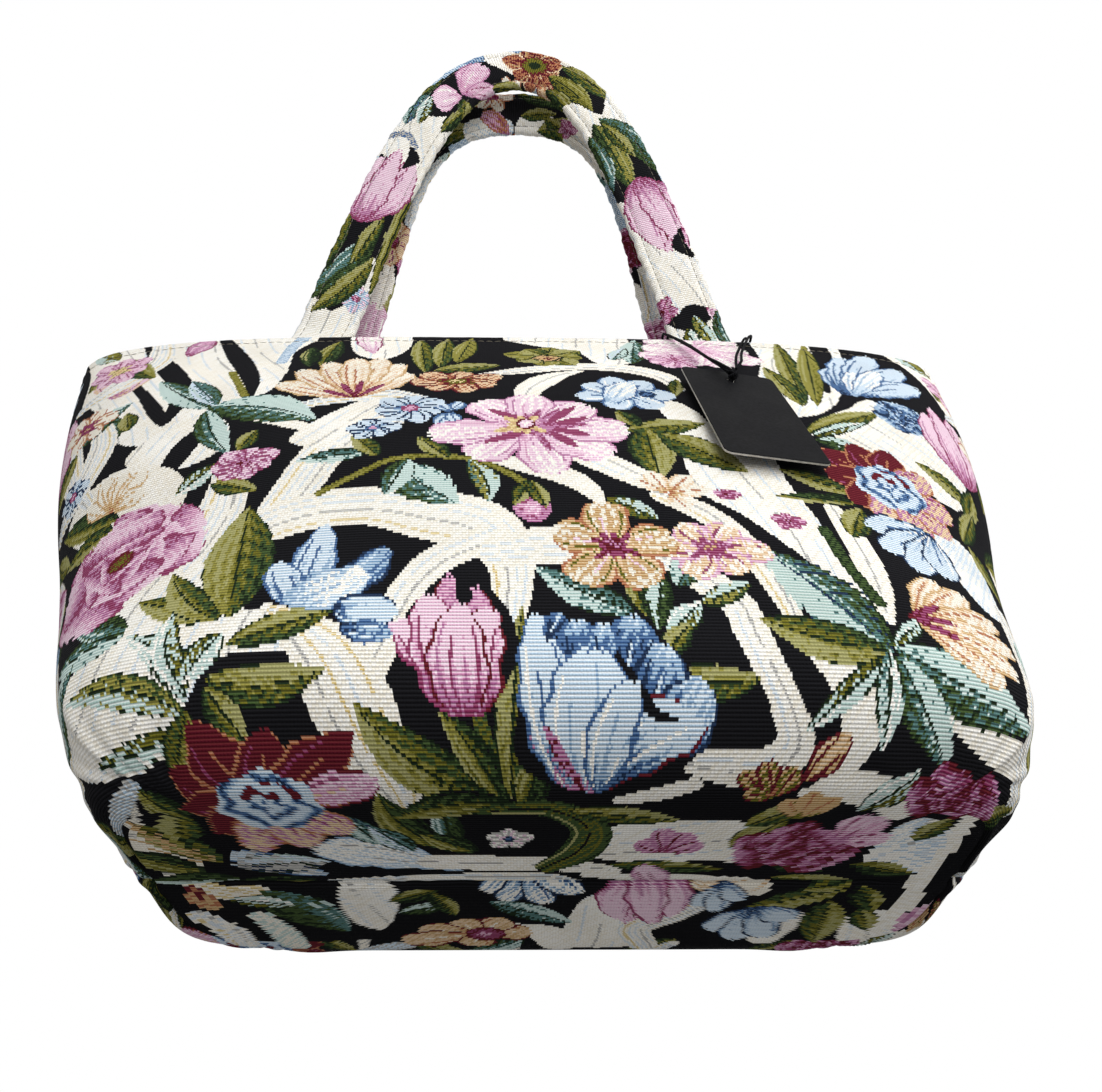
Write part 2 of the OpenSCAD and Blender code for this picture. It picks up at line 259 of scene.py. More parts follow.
class Nodes:
    """Short names for building a node tree."""

    def __init__(self, name):
        self.material = bpy.data.materials.new(name)
        self.material.use_nodes = True
        self.tree = self.material.node_tree
        self.shader = self.tree.nodes["Principled BSDF"]
        self.out = self.tree.nodes["Material Output"]

    def add(self, kind, **settings):
        node = self.tree.nodes.new(kind)
        for key, value in settings.items():
            setattr(node, key, value)
        return node

    def link(self, a, b):
        self.tree.links.new(a, b)

    def put(self, socket, value):
        if hasattr(value, "is_output"):
            self.link(value, socket)
        else:
            socket.default_value = value

    def math(self, op, a, b=0.0, c=0.0):
        node = self.add("ShaderNodeMath", operation=op)
        for socket, value in zip(node.inputs, (a, b, c)):
            self.put(socket, value)
        return node.outputs[0]

    def span(self, x, lo, hi, to_lo=0.0, to_hi=1.0, smooth=True):
        node = self.add("ShaderNodeMapRange", interpolation_type="SMOOTHSTEP" if smooth else "LINEAR")
        values = {"Value": x, "From Min": lo, "From Max": hi, "To Min": to_lo, "To Max": to_hi}
        for key, value in values.items():
            self.put(node.inputs[key], value)
        return node.outputs[0]

    def blend(self, share, a, b, kind="MIX"):
        node = self.add("ShaderNodeMix", data_type="RGBA", blend_type=kind)
        self.put(node.inputs[0], share)
        self.put(node.inputs[6], a)
        self.put(node.inputs[7], b)
        return node.outputs[2]

    def noise(self, scale, detail=2.0, vector=None):
        node = self.add("ShaderNodeTexNoise")
        node.inputs["Scale"].default_value = scale
        node.inputs["Detail"].default_value = detail
        if vector is not None:
            self.link(vector, node.inputs["Vector"])
        return node.outputs["Fac"]

    def bump(self, height, distance, strength):
        node = self.add("ShaderNodeBump")
        node.inputs["Strength"].default_value = strength
        node.inputs["Distance"].default_value = distance
        self.link(height, node.inputs["Height"])
        return node.outputs[0]

    def cloth_place(self):
        """The cloth coordinates, whole and as their two parts."""
        uv = self.add("ShaderNodeUVMap", uv_map="cloth").outputs[0]
        place = self.add("ShaderNodeSeparateXYZ")
        self.link(uv, place.inputs[0])
        return uv, place.outputs[0], place.outputs[1]

    def finish(self, colour, roughness, normal=None, specular=0.25, sheen=0.0):
        self.put(self.shader.inputs["Base Color"], colour)
        self.put(self.shader.inputs["Roughness"], roughness)
        self.shader.inputs["Specular IOR Level"].default_value = specular
        self.shader.inputs["Sheen Weight"].default_value = sheen
        if normal is not None:
            self.link(normal, self.shader.inputs["Normal"])
        return self.material


def off_middle(n, x):
    """Distance of a coordinate from the middle of its unit step."""
    return n.math("ABSOLUTE", n.math("SUBTRACT", n.math("FRACT", x), 0.5))


def jacquard_material():
    """Woven cloth: dots of warp yarn in rows, a thinner weft line between two rows, and painted shade
    darkening the gaps between the warp dots.
    """
    n = Nodes("jacquard")
    yarn = n.add("ShaderNodeAttribute", attribute_name="yarn").outputs["Color"]
    weft = n.add("ShaderNodeAttribute", attribute_name="weft").outputs["Color"]
    uv, u, v = n.cloth_place()
    across = off_middle(n, n.math("DIVIDE", u, WARP))
    along = off_middle(n, n.math("DIVIDE", v, WEFT))
    gap = n.span(across, 0.3, 0.5)
    line = n.span(along, 0.24, 0.36)
    fuzz = n.noise(2.2, 3.0, uv)
    patch = n.noise(0.035, 2.0, uv)
    # Painted shade: in the gaps between warp dots the yarn colour is mixed towards near-black
    dark = n.blend(n.math("MULTIPLY", gap, 0.2), yarn, (0.012, 0.011, 0.012, 1.0))
    woven = n.blend(line, dark, weft)
    shade = n.math("MULTIPLY", n.span(fuzz, 0.2, 0.8, 0.84, 1.12, False),
                   n.span(patch, 0.3, 0.7, 0.94, 1.05, False))
    grey = n.add("ShaderNodeCombineColor")
    for k in range(3):
        n.link(shade, grey.inputs[k])
    colour = n.blend(1.0, woven, grey.outputs[0], "MULTIPLY")
    rib = n.span(along, 0.0, 0.5, 1.0, 0.0)
    dots = n.span(across, 0.0, 0.5, 1.0, 0.72)
    height = n.math("ADD", n.math("MULTIPLY", rib, dots), n.math("MULTIPLY", fuzz, 0.35))
    return n.finish(colour, 0.9, n.bump(height, 0.00035, 0.7), 0.02)


def lining_material():
    """Plain woven cotton, with painted shade where the threads meet."""
    n = Nodes("lining")
    uv, u, v = n.cloth_place()
    across = off_middle(n, n.math("MULTIPLY", u, LINING_COUNT))
    along = off_middle(n, n.math("MULTIPLY", v, LINING_COUNT))
    threads = n.math("MULTIPLY", n.span(across, 0.0, 0.5, 1.0, 0.4), n.span(along, 0.0, 0.5, 1.0, 0.4))
    slub = n.noise(0.25, 4.0, uv)
    base = n.blend(n.span(slub, 0.35, 0.7), srgb("c9b490"), srgb("b59e79"))
    # Painted shade: a darker colour where the threads meet and dip, the lighter slub colour on the thread
    # crowns
    colour = n.blend(n.span(threads, 0.15, 0.8), srgb("a08b69"), base)
    return n.finish(colour, 0.9, n.bump(n.math("ADD", threads, slub), 0.0002, 0.6), 0.15, 0.1)


def card_material(name, code, code_2, bump):
    """Matte card, with fibres."""
    n = Nodes(name)
    where = n.add("ShaderNodeTexCoord").outputs["Object"]
    fibre = n.noise(900.0, 4.0, where)
    cloud = n.noise(60.0, 2.0, where)
    grain = n.math("ADD", n.math("MULTIPLY", fibre, 0.6), n.math("MULTIPLY", cloud, 0.4))
    colour = n.blend(n.span(grain, 0.35, 0.65), srgb(code), srgb(code_2))
    rough = n.span(cloud, 0.3, 0.7, 0.5, 0.62)
    return n.finish(colour, rough, n.bump(fibre, 0.0001, bump), 0.03)


def thread_material(name, code, code_2, turns):
    """Twisted yarn: slanting plies along the strand, with painted shade in the grooves between the plies."""
    n = Nodes(name)
    uv, u, v = n.cloth_place()
    ply = off_middle(n, n.math("ADD", n.math("MULTIPLY", u, turns), n.math("MULTIPLY", v, 0.9)))
    fuzz = n.math("MULTIPLY", n.noise(3.0, 3.0, uv), 0.3)
    # Painted shade: the darker colour fills the grooves between plies, the lighter one lies on the ply crowns
    colour = n.blend(n.span(n.math("ADD", ply, fuzz), 0.15, 0.6), srgb(code_2), srgb(code))
    return n.finish(colour, 0.85, n.bump(n.span(ply, 0.0, 0.5, 1.0, 0.0), 0.0002, 0.9), 0.04)


JACQUARD = jacquard_material()
LINING = lining_material()
CARD = card_material("card", "0c0c0d", "151517", 0.35)
CARD_EDGE = card_material("card_edge", "c9c6bf", "a7a39b", 0.5)
CORD = thread_material("cord", "0c0c0e", "1d1d20", 2.0)
STITCH = thread_material("stitch_thread", "817a6c", "9c9486", 2.0)


# Cords

def tube_points(path, radius, sides, ply=0.0, twist=0.0):
    """Rings of points round a path, and the length to each. ply is how far its strands stand out."""
    p = np.asarray(path, float)
    along = np.gradient(p, axis=0)
    along /= np.linalg.norm(along, axis=1, keepdims=True)
    cross = np.zeros_like(p)
    v = np.array([0.3, 0.2, 1.0]) if abs(along[0][2]) < 0.9 else np.array([1.0, 0.2, 0.0])
    for i, a in enumerate(along):
        v = v - a * (v @ a)
        v = v / np.linalg.norm(v)
        cross[i] = v
    third = np.cross(along, cross)
    turn = np.arange(sides) * 2 * np.pi / sides
    s = lengths(p)[:, None]
    r = radius * (1 - ply + ply * np.abs(np.cos(1.5 * (turn[None] - s * twist))))
    rings = p[:, None] + r[..., None] * (np.cos(turn)[None, :, None] * cross[:, None]
                                         + np.sin(turn)[None, :, None] * third[:, None])
    return rings, s


def tube(name, path, radius, sides, material, ply, twist):
    rings, s = tube_points(path, radius, sides, ply, twist)
    rows, cols = rings.shape[:2]
    faces = grid_faces(rows, cols, closed=True)
    u = np.broadcast_to(np.arange(cols + 1) / cols, (rows, cols + 1))
    uv = corners(np.stack([u, np.broadcast_to(s, u.shape)], -1))
    uv = np.concatenate([uv.reshape(-1, 2), np.zeros((2 * cols, 2))])
    return mesh_object(name, rings.reshape(-1, 3), faces.tolist() + end_caps(rows, cols), material, uv)


def make_cords():
    pieces = []
    for name, route in (("cord_strand_1", STRAND_1), ("cord_strand_2", STRAND_2)):
        path = smooth_path(route)
        piece = tube(name, path, CORD_D / 2, CORD_SIDES, CORD, CORD_PLY, CORD_TWIST)
        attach(piece, "bag")
        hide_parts("tag_cord")
        pieces.append((piece, path))
    return pieces


cords = make_cords()


# Form of the bag

def edge_share(z):
    return np.maximum(0, 1 - z / EDGE_R)


def edge_cut(z):
    return 1 - np.sqrt(np.maximum(0, 1 - edge_share(z) ** 2))


def mid_x(z):
    return MOUTH_SHIFT * z / BODY_H


def half_w(z):
    w = z / BODY_H
    return mix(BASE_LEN, MOUTH_W, w) / 2 + SIDE_SWELL * np.sin(np.pi * w) - END_TUCK * edge_cut(z)


def half_d(z):
    w = z / BODY_H
    return mix(BASE_DEPTH, MOUTH_DEPTH, w) / 2 + FRONT_SWELL * np.sin(np.pi * w) - EDGE_R * edge_cut(z)


def squareness(z):
    w = z / BODY_H
    low = BELLY_SQUARE + (BASE_SQUARE - BELLY_SQUARE) * np.maximum(0, 1 - w / BELLY_AT) ** 2
    return np.where(w < BELLY_AT, low, mix(BELLY_SQUARE, MOUTH_SQUARE, (w - BELLY_AT) / (1 - BELLY_AT)))


def front_y(x, z, inset=0.0):
    n = squareness(z)
    r = np.minimum(1, np.abs(x - mid_x(z)) / (half_w(z) - inset))
    return -(half_d(z) - inset) * (1 - r ** n) ** (1 / n)


def outline(z, inset, columns, side):
    """A panel's row at height z: points spaced evenly along half the outline, and its length.
    It runs from the left as seen from outside. side is 1 for the front and -1 for the back."""
    t = np.linspace(180, 0, OUTLINE_STEPS)
    n = squareness(z)
    rho = (np.abs(cosd(t)) ** n + np.abs(sind(t)) ** n) ** (-1 / n)
    k = edge_share(z)
    flat = np.sqrt(max(0, 1 - k * k))
    x = mid_x(z) + side * (half_w(z) - inset * flat) * rho * cosd(t)
    y = -side * (half_d(z) - inset * flat) * rho * sind(t)
    p = np.stack([x, y, np.full_like(x, z + inset * k)], -1)
    d = lengths(p)
    return resample(p, np.linspace(0, d[-1], columns + 1)), d[-1]


def wall_heights(top, step):
    """Heights of rows that lie a step apart along the middle of the front, from the base's edge to a top."""
    turn = EDGE_R * (1 - cosd(np.linspace(0, 90, 200)))
    z = np.concatenate([turn, np.linspace(EDGE_R, top, 600)[1:]])
    y = half_d(z)
    d = lengths(np.stack([y, z], -1))
    rows = max(2, int(round(d[-1] / step)))
    return np.interp(np.linspace(0, d[-1], rows + 1), d, z), np.linspace(0, d[-1], rows + 1)


def base_rows(inset, columns, side, step):
    """Rows of the flat base, as loops that grow from a slit on the middle seam to the base's edge."""
    edge, _ = outline(0.0, inset, columns, side)
    slit = np.linspace(-BASE_LINE, BASE_LINE, columns + 1) * side
    half = np.abs(edge[:, 1]).max()
    count = int(round(half / step))
    rows = []
    for f in np.linspace(0, 1, count + 1)[:-1]:
        rows.append(np.stack([mix(slit, edge[:, 0], f), f * edge[:, 1], np.full(columns + 1, inset)], -1))
    return rows, half


class Sheet:
    """A panel's or lining's grid of points with its cloth coordinates."""

    def __init__(self, side, columns, step, inset, top):
        self.side = side
        base, self.base_half = base_rows(inset, columns, side, step)
        heights, climb = wall_heights(top, step)
        wall = [outline(z, inset, columns, side) for z in heights]
        self.points = np.array(base + [w[0] for w in wall])
        self.base_count = len(base)
        low_v = np.linspace(0, self.base_half, len(base) + 1)[:-1]
        self.row_v = np.concatenate([low_v, self.base_half + climb])
        spread = np.linspace(-0.5, 0.5, columns + 1)
        self.u = np.array([side * row[:, 0] for row in base] + [spread * w[1] for w in wall])
        self.v = np.concatenate([np.abs(self.points[:len(base), :, 1]),
                                 np.repeat((self.base_half + climb)[:, None], columns + 1, 1)])

    def cell_uv(self):
        """Cloth coordinates at the corners of each cell. The base's cloth runs straight across."""
        uv = np.stack([self.u, self.v], -1)
        low = uv[:self.base_count + 1].copy()
        edge = self.points[self.base_count]
        low[-1, :, 0] = self.side * edge[:, 0]
        low[-1, :, 1] = np.abs(edge[:, 1])
        return np.concatenate([corners(low), corners(uv[self.base_count:])])


# Yarns: the colour of the warp dots and of the weft line between them

YARNS = {
    "black": ("131315", "1d1d20"), "cream": ("f1ecdf", "dcd5c6"), "white": ("f7f5ef", "e6e2d8"),
    "grey": ("9a9a98", "cfccc5"), "pearl": ("c6d2dd", "e3e5e4"), "straw": ("cdb472", "e6d9b6"),
    "sky": ("a9c0d4", "e9eff2"),
    "blue": ("6f91b4", "bfd0de"), "deep": ("34517c", "5f7da4"), "navy": ("1c2a43", "2b3a54"),
    "blush": ("d6acc3", "f0e0e8"), "pink": ("bd7aa0", "e5c6d6"), "rose": ("9e5986", "cb9db8"),
    "magenta": ("7b2a50", "9c5876"), "wine": ("541521", "6e2a30"), "peach": ("cda97f", "ead7bd"),
    "tan": ("b28a58", "d6bc93"), "rust": ("98583b", "bd8868"), "olive": ("757128", "4a4a20"),
    "moss": ("989247", "6d6b36"), "green": ("485c34", "2a3620"), "forest": ("24331f", "181f17"),
    "teal": ("5f8582", "3a5350"), "ice": ("a6bfb9", "d5e1dc"), "sage": ("a9a670", "8b8a58")}
YARN_NAMES = list(YARNS)


class Cloth:
    """Cloth as a heap of weave cells, woven motif by motif. Each cell holds the number of its yarn."""

    def __init__(self, u, v, repeat=REPEAT):
        self.u = u
        self.v = v
        self.repeat = repeat
        column = np.floor(u / WARP).astype(int)
        row = np.floor(v / WEFT).astype(int)
        self.step = ((column * 5 + row * 3) % 8 + 0.5) / 8
        self.kind = np.zeros(len(u), int)

    def near(self, at, reach, turn=0.0):
        """Cells within reach of a place, and where they lie in a frame that leans clockwise by turn."""
        du = (self.u - at[0] + self.repeat / 2) % self.repeat - self.repeat / 2
        dv = self.v - at[1]
        pick = np.flatnonzero((np.abs(du) < reach) & (np.abs(dv) < reach))
        x = du[pick] * cosd(turn) - dv[pick] * sind(turn)
        y = du[pick] * sind(turn) + dv[pick] * cosd(turn)
        return pick, x, y

    def weave(self, cells, yarn):
        self.kind[cells] = YARN_NAMES.index(yarn)

    def shade(self, cells, tone, yarns):
        """Weaves cells from the first yarn to the last as the tone goes from 0 to 1, in satin steps."""
        numbers = np.array([YARN_NAMES.index(y) for y in yarns.split()])
        level = np.clip(tone, 0, 1) * (len(numbers) - 1) + self.step[cells] - 0.5
        self.kind[cells] = numbers[np.clip(np.round(level), 0, len(numbers) - 1).astype(int)]

    def colours(self):
        out = {}
        for key, k in (("yarn", 0), ("weft", 1)):
            table = np.array([srgb(YARNS[name][k]) for name in YARN_NAMES])
            out[key] = table[self.kind]
        return out


# Yarns of a motif, from its light end to its dark end
CREAMS = "white cream"
GREENS = "sage moss olive green forest"
DARK_GREENS = "moss olive green forest black"
TEALS = "ice ice teal green forest"
PALE_GREENS = "white ice ice olive forest"
PALE = ("ice", "white", "sky", "teal")
PINKS = "blush blush pink rose magenta"
BLUES = "sky sky blue deep navy"
PEACHES = "cream cream peach tan rust"
THREAD_HALF = 0.36
# Threads along a band: where across its half-width, and the yarn
THREADS = ((-0.75, "pearl"), (-0.45, "grey"), (-0.12, "pearl"), (0.2, "pearl"), (0.5, "straw"),
           (0.78, "pearl"))


def heading(a, b):
    """Turn and length of the line from one place to another."""
    return math.degrees(math.atan2(b[0] - a[0], b[1] - a[1])), math.hypot(b[0] - a[0], b[1] - a[1])


def blade(x, y, length, width, fat=0.5, soft=0.8, bend=0.0):
    """Leaf or petal form on the upright from the origin: share of the length, and share of the half-width."""
    s = y / length
    c = np.clip(s, 1e-6, 1 - 1e-6)
    t = x - 4 * bend * c * (1 - c)
    w = width / 2 * np.sin(np.pi * c ** (math.log(0.5) / math.log(fat))) ** soft
    return s, t / np.maximum(w, 1e-6)


def leaf(cloth, a, b, width, yarns=GREENS, bend=0.0, veins=7, jag=0.12, edge="forest", fat=0.45):
    """A leaf from a to b: a light and a dark half in soft bands, with a dark midrib, veins and rim."""
    turn, length = heading(a, b)
    pick, x, y = cloth.near(a, length + width, turn)
    s, r = blade(x, y, length, width, fat, 0.85, bend)
    rib = (s * veins + np.abs(r) * 1.4 + 0.3) % 1
    inside = (s > 0) & (s < 1) & (np.abs(r) < 1 - 0.6 * jag * rib)
    cells, s, r, rib = pick[inside], s[inside], r[inside], rib[inside]
    off = np.abs(r) * width / 2
    streak = 0.14 * np.sin(2.2 * off + 3 * s + a[0]) + 0.1 * np.cos(2 * np.pi * rib)
    cloth.shade(cells, 0.5 + 0.32 * np.tanh(3 * r) + streak + 0.2 * r * r - 0.34 * s, yarns)
    light = (off > width / 2 - 1.0) & (r < 0) & (s > 0.25)
    thin = (np.abs(off - width / 4) < 0.4) & (r < 0) & (s > 0.3) & (s < 0.75)
    cloth.weave(cells[light | thin], "ice" if yarns.split()[0] in PALE else "sage")
    cloth.weave(cells[(rib < 0.1) & (r > 0.15) & (r < 0.8)], edge)
    cloth.weave(cells[(off < 0.4) & (s < 0.94)], edge)
    cloth.weave(cells[(off > width / 2 - 0.8) & ((r > 0) | (s < 0.45))], edge)


def petal(cloth, a, b, width, yarns, fat=0.6, soft=0.55, bend=0.0, lines=2, line="magenta", edge=None,
          dark=0.4):
    """A petal from its foot to its tip: wavy rims, dark up to a share of its length, with lines along it."""
    turn, length = heading(a, b)
    pick, x, y = cloth.near(a, length + width, turn)
    s, r = blade(x, y, length, width, fat, soft, bend)
    rim = 1 - 0.07 * (1 + np.sin(length * s / 1.7 + a[0] + np.sign(r)))
    inside = (s > 0) & (s < 1 - 0.03 * (1 + np.sin(9 * r + b[0]))) & (np.abs(r) < rim)
    cells, s, r, rim = pick[inside], s[inside], r[inside], rim[inside]
    streak = 0.2 * np.sin(r * width / 2 * 2.1 + b[0]) * (1 - 0.6 * s)
    foot = np.clip((dark - s) / 0.4, 0, 1)
    cloth.shade(cells, 0.7 * foot + 0.35 * np.abs(r) ** 3 + 0.25 * (1 - s) + 0.08 + streak, yarns)
    names = line.split()
    count = max(lines, round(width / 5)) if lines else 0
    for k in range(count):
        c = mix(-0.8, 0.8, (k + 0.5) / count)
        start, stop = 0.06 + 0.12 * (k % 2), 0.9 - 0.2 * abs(c) - 0.22 * (k % 3)
        on = (np.abs(r - c) * width / 2 < THREAD_HALF) & (s > start) & (s < stop)
        cloth.weave(cells[on], names[k % len(names)])
    if edge:
        cloth.weave(cells[(np.abs(r) > rim - 0.9 / max(2, width / 2)) & (s > 0.06)], edge)


def fan(cloth, foot, tips, width, yarns, lines=2, line="magenta", edge=None, soft=0.55, fat=0.62, dark=0.4):
    """Petals from one foot to each of some tips."""
    for tip in tips:
        petal(cloth, foot, tip, width, yarns, fat, soft, 0.0, lines, line, edge, dark)


def band(cloth, points, threads=(), yarns=CREAMS):
    """A curling band along a smooth curve of places and widths, with thin threads running along it."""
    path = smooth_path(points, 8)
    path = resample(path, np.arange(0, lengths(path)[-1], 0.7))
    mid = path[:, :2].mean(0)
    pick, x, y = cloth.near(mid, np.abs(path[:, :2] - mid).max() + path[:, 2].max())
    dx = x[:, None] + mid[0] - path[None, :, 0]
    dy = y[:, None] + mid[1] - path[None, :, 1]
    k = np.argmin(dx * dx + dy * dy, 1)
    every = np.arange(len(pick))
    along = np.gradient(path[:, :2], axis=0)
    along /= np.linalg.norm(along, axis=1, keepdims=True)
    dx, dy, half = dx[every, k], dy[every, k], path[k, 2] / 2
    inside = np.hypot(dx, dy) < half
    cells, k, half = pick[inside], k[inside], half[inside]
    side = dx[inside] * along[k, 1] - dy[inside] * along[k, 0]
    cloth.shade(cells, 0.2 + 0.5 * np.abs(side) / half, yarns)
    for n, (share, name) in enumerate(threads):
        on = (np.abs(side - share * half) < THREAD_HALF) & ((k / 60 + 0.37 * n) % 1 < 0.93) & (half > 2.2)
        cloth.weave(cells[on], name)


def gap(cloth, points):
    band(cloth, points, (), "black")


def stem(cloth, points, width=1.6, yarns="olive green"):
    band(cloth, [(u, v, width) for u, v in points], (), yarns)


def patch(cloth, points, lean=None, yarns=CREAMS):
    """An area inside a smooth closed curve. Where it has a lean, thin threads run up it at that angle."""
    p = np.asarray(points, float)
    a, c, d = np.roll(p, 1, 0)[:, None], np.roll(p, -1, 0)[:, None], np.roll(p, -2, 0)[:, None]
    b = p[:, None]
    t = np.linspace(0, 1, 6, endpoint=False)[None, :, None]
    q = (b + 0.5 * t * (c - a + t * (2 * a - 5 * b + 4 * c - d + t * (3 * (b - c) + d - a)))).reshape(-1, 2)
    mid = q.mean(0)
    q = q - mid
    pick, x, y = cloth.near(mid, np.abs(q).max() + 2)
    inside = np.zeros(len(pick), bool)
    for (x0, y0), (x1, y1) in zip(q, np.roll(q, -1, 0)):
        if y0 != y1:
            inside ^= ((y0 > y) != (y1 > y)) & (x < (x1 - x0) * (y - y0) / (y1 - y0) + x0)
    cells, x, y = pick[inside], x[inside], y[inside]
    cloth.shade(cells, 0.35 + 0.25 * np.sin(x / 5 + y / 8), yarns)
    if lean is not None:
        along = x * sind(lean) + y * cosd(lean)
        row = (x * cosd(lean) - y * sind(lean) + 1.6 * np.sin(along / 11)) / 5.5
        on = (np.abs(row - np.round(row)) < 0.065) & ((along / 34 + 0.37 * np.round(row)) % 1 < 0.8)
        cloth.weave(cells[on & (np.round(row) % 3 == 0)], "grey")
        cloth.weave(cells[on & (np.round(row) % 3 != 0)], "pearl")


def dot(cloth, at, radius, tall, yarns):
    pick, x, y = cloth.near(at, radius * max(1, tall) + 2)
    rho = np.hypot(x / radius, y / (radius * tall))
    inside = rho < 1
    cloth.shade(pick[inside], rho[inside], yarns)


def ring_of(at, radius, count, turn=0.0, tall=1.0, uneven=0.1):
    """Tips of petals set round a place."""
    tips = []
    for k in range(count):
        a = math.radians(turn + 360 * k / count)
        r = radius * (1 - uneven + uneven * math.sin(k * 2.4))
        tips.append((at[0] + r * math.sin(a), at[1] + tall * r * math.cos(a)))
    return tips


def star(cloth, at, radius, turn=0, count=6, yarns=BLUES, heart="pink magenta", tall=1.0):
    """A small flower of pointed petals."""
    last = yarns.split()[-1]
    fan(cloth, at, ring_of(at, radius, count, turn, tall), radius * 0.78, yarns, 1, last, last, 0.7, 0.55)
    dot(cloth, at, radius * 0.22, tall, heart)


def blossom(cloth, at, radius, turn=0, count=5, yarns=PEACHES, heart="magenta wine", tall=1.0, line="rust"):
    """An open flower of broad petals with a dark, rayed heart."""
    last = yarns.split()[-1]
    fan(cloth, at, ring_of(at, radius, count, turn, tall), radius * 4.0 / count, yarns, 2, line, last, 0.5)
    rays = ring_of(at, radius * 0.46, 11, turn + 9, tall, 0.25)
    fan(cloth, at, rays, radius * 0.13, heart, 0, "rust", None, 0.8)
    dot(cloth, at, radius * 0.13, tall, "tan " + heart.split()[0])


def rose(cloth, at, radius, turn=0, yarns=PINKS, tall=1.0, heart=None):
    """Rings of petals, each ring inside the last and turned from it."""
    line, edge = yarns.split()[-2:]
    for k, (share, count) in enumerate(((1.0, 6), (0.8, 5), (0.6, 4), (0.42, 3), (0.26, 3))):
        tips = ring_of(at, radius * share, count, turn + 27 * k, tall, 0.14)
        fan(cloth, at, tips, radius * share * 7.4 / count, yarns, 1, line, edge, 0.42, 0.7, 0.97)
    if heart:
        dot(cloth, at, radius * 0.16, tall, heart)


def tulip(cloth, foot, tip, width, yarns=PINKS, dark="rose blush", line="magenta", spread=0.3):
    """A tulip seen from the side: back petals, side petals, then the front petal."""
    du, dv = tip[0] - foot[0], tip[1] - foot[1]
    place = lambda s, c: (foot[0] + s * du + c * width * dv / math.hypot(du, dv),
                          foot[1] + s * dv - c * width * du / math.hypot(du, dv))
    inner = yarns.split(" ", 1)[1]
    for c, s in ((-0.1, 1.0), (0.24, 0.94)):
        petal(cloth, place(0.1, 0.3 * c), place(s, c), width * 0.42, inner, 0.6, 0.75, 0, 1, "wine", line)
    for c, s, bend in ((-spread, 0.86, -0.2), (spread, 0.9, 0.2)):
        petal(cloth, foot, place(s, c), width * 0.58, yarns, 0.42, 0.75, bend * width, 3, dark, line)
    petal(cloth, foot, place(0.92, -0.06), width * 0.6, yarns, 0.4, 0.7, 0, 4, dark, line)


def eye(cloth, at, radius, tall):
    """The rolled blue middle of an anemone."""
    pick, x, y = cloth.near(at, radius + 2)
    rho = np.hypot(x / radius, y / (radius * tall))
    angle = np.arctan2(y, x)
    inside = rho < 1 - 0.06 * (1 + np.sin(7 * angle))
    waver = 2.0 * np.sin(2 * angle + 0.5) + 1.1 * np.sin(5 * angle) + 0.6 * np.sin(9 * angle)
    rings = np.sin(14 * rho + waver)
    cloth.shade(pick[inside], 0.42 - 0.45 * rings[inside], BLUES)
    high = inside & (rho < 0.72) & (y > 0.2 * radius) & (rings < -0.2)
    cloth.weave(pick[high], "wine")


def each(cloth, draw, *rows):
    """Draws a motif for each row of values, in their order."""
    for row in rows:
        draw(cloth, *row)


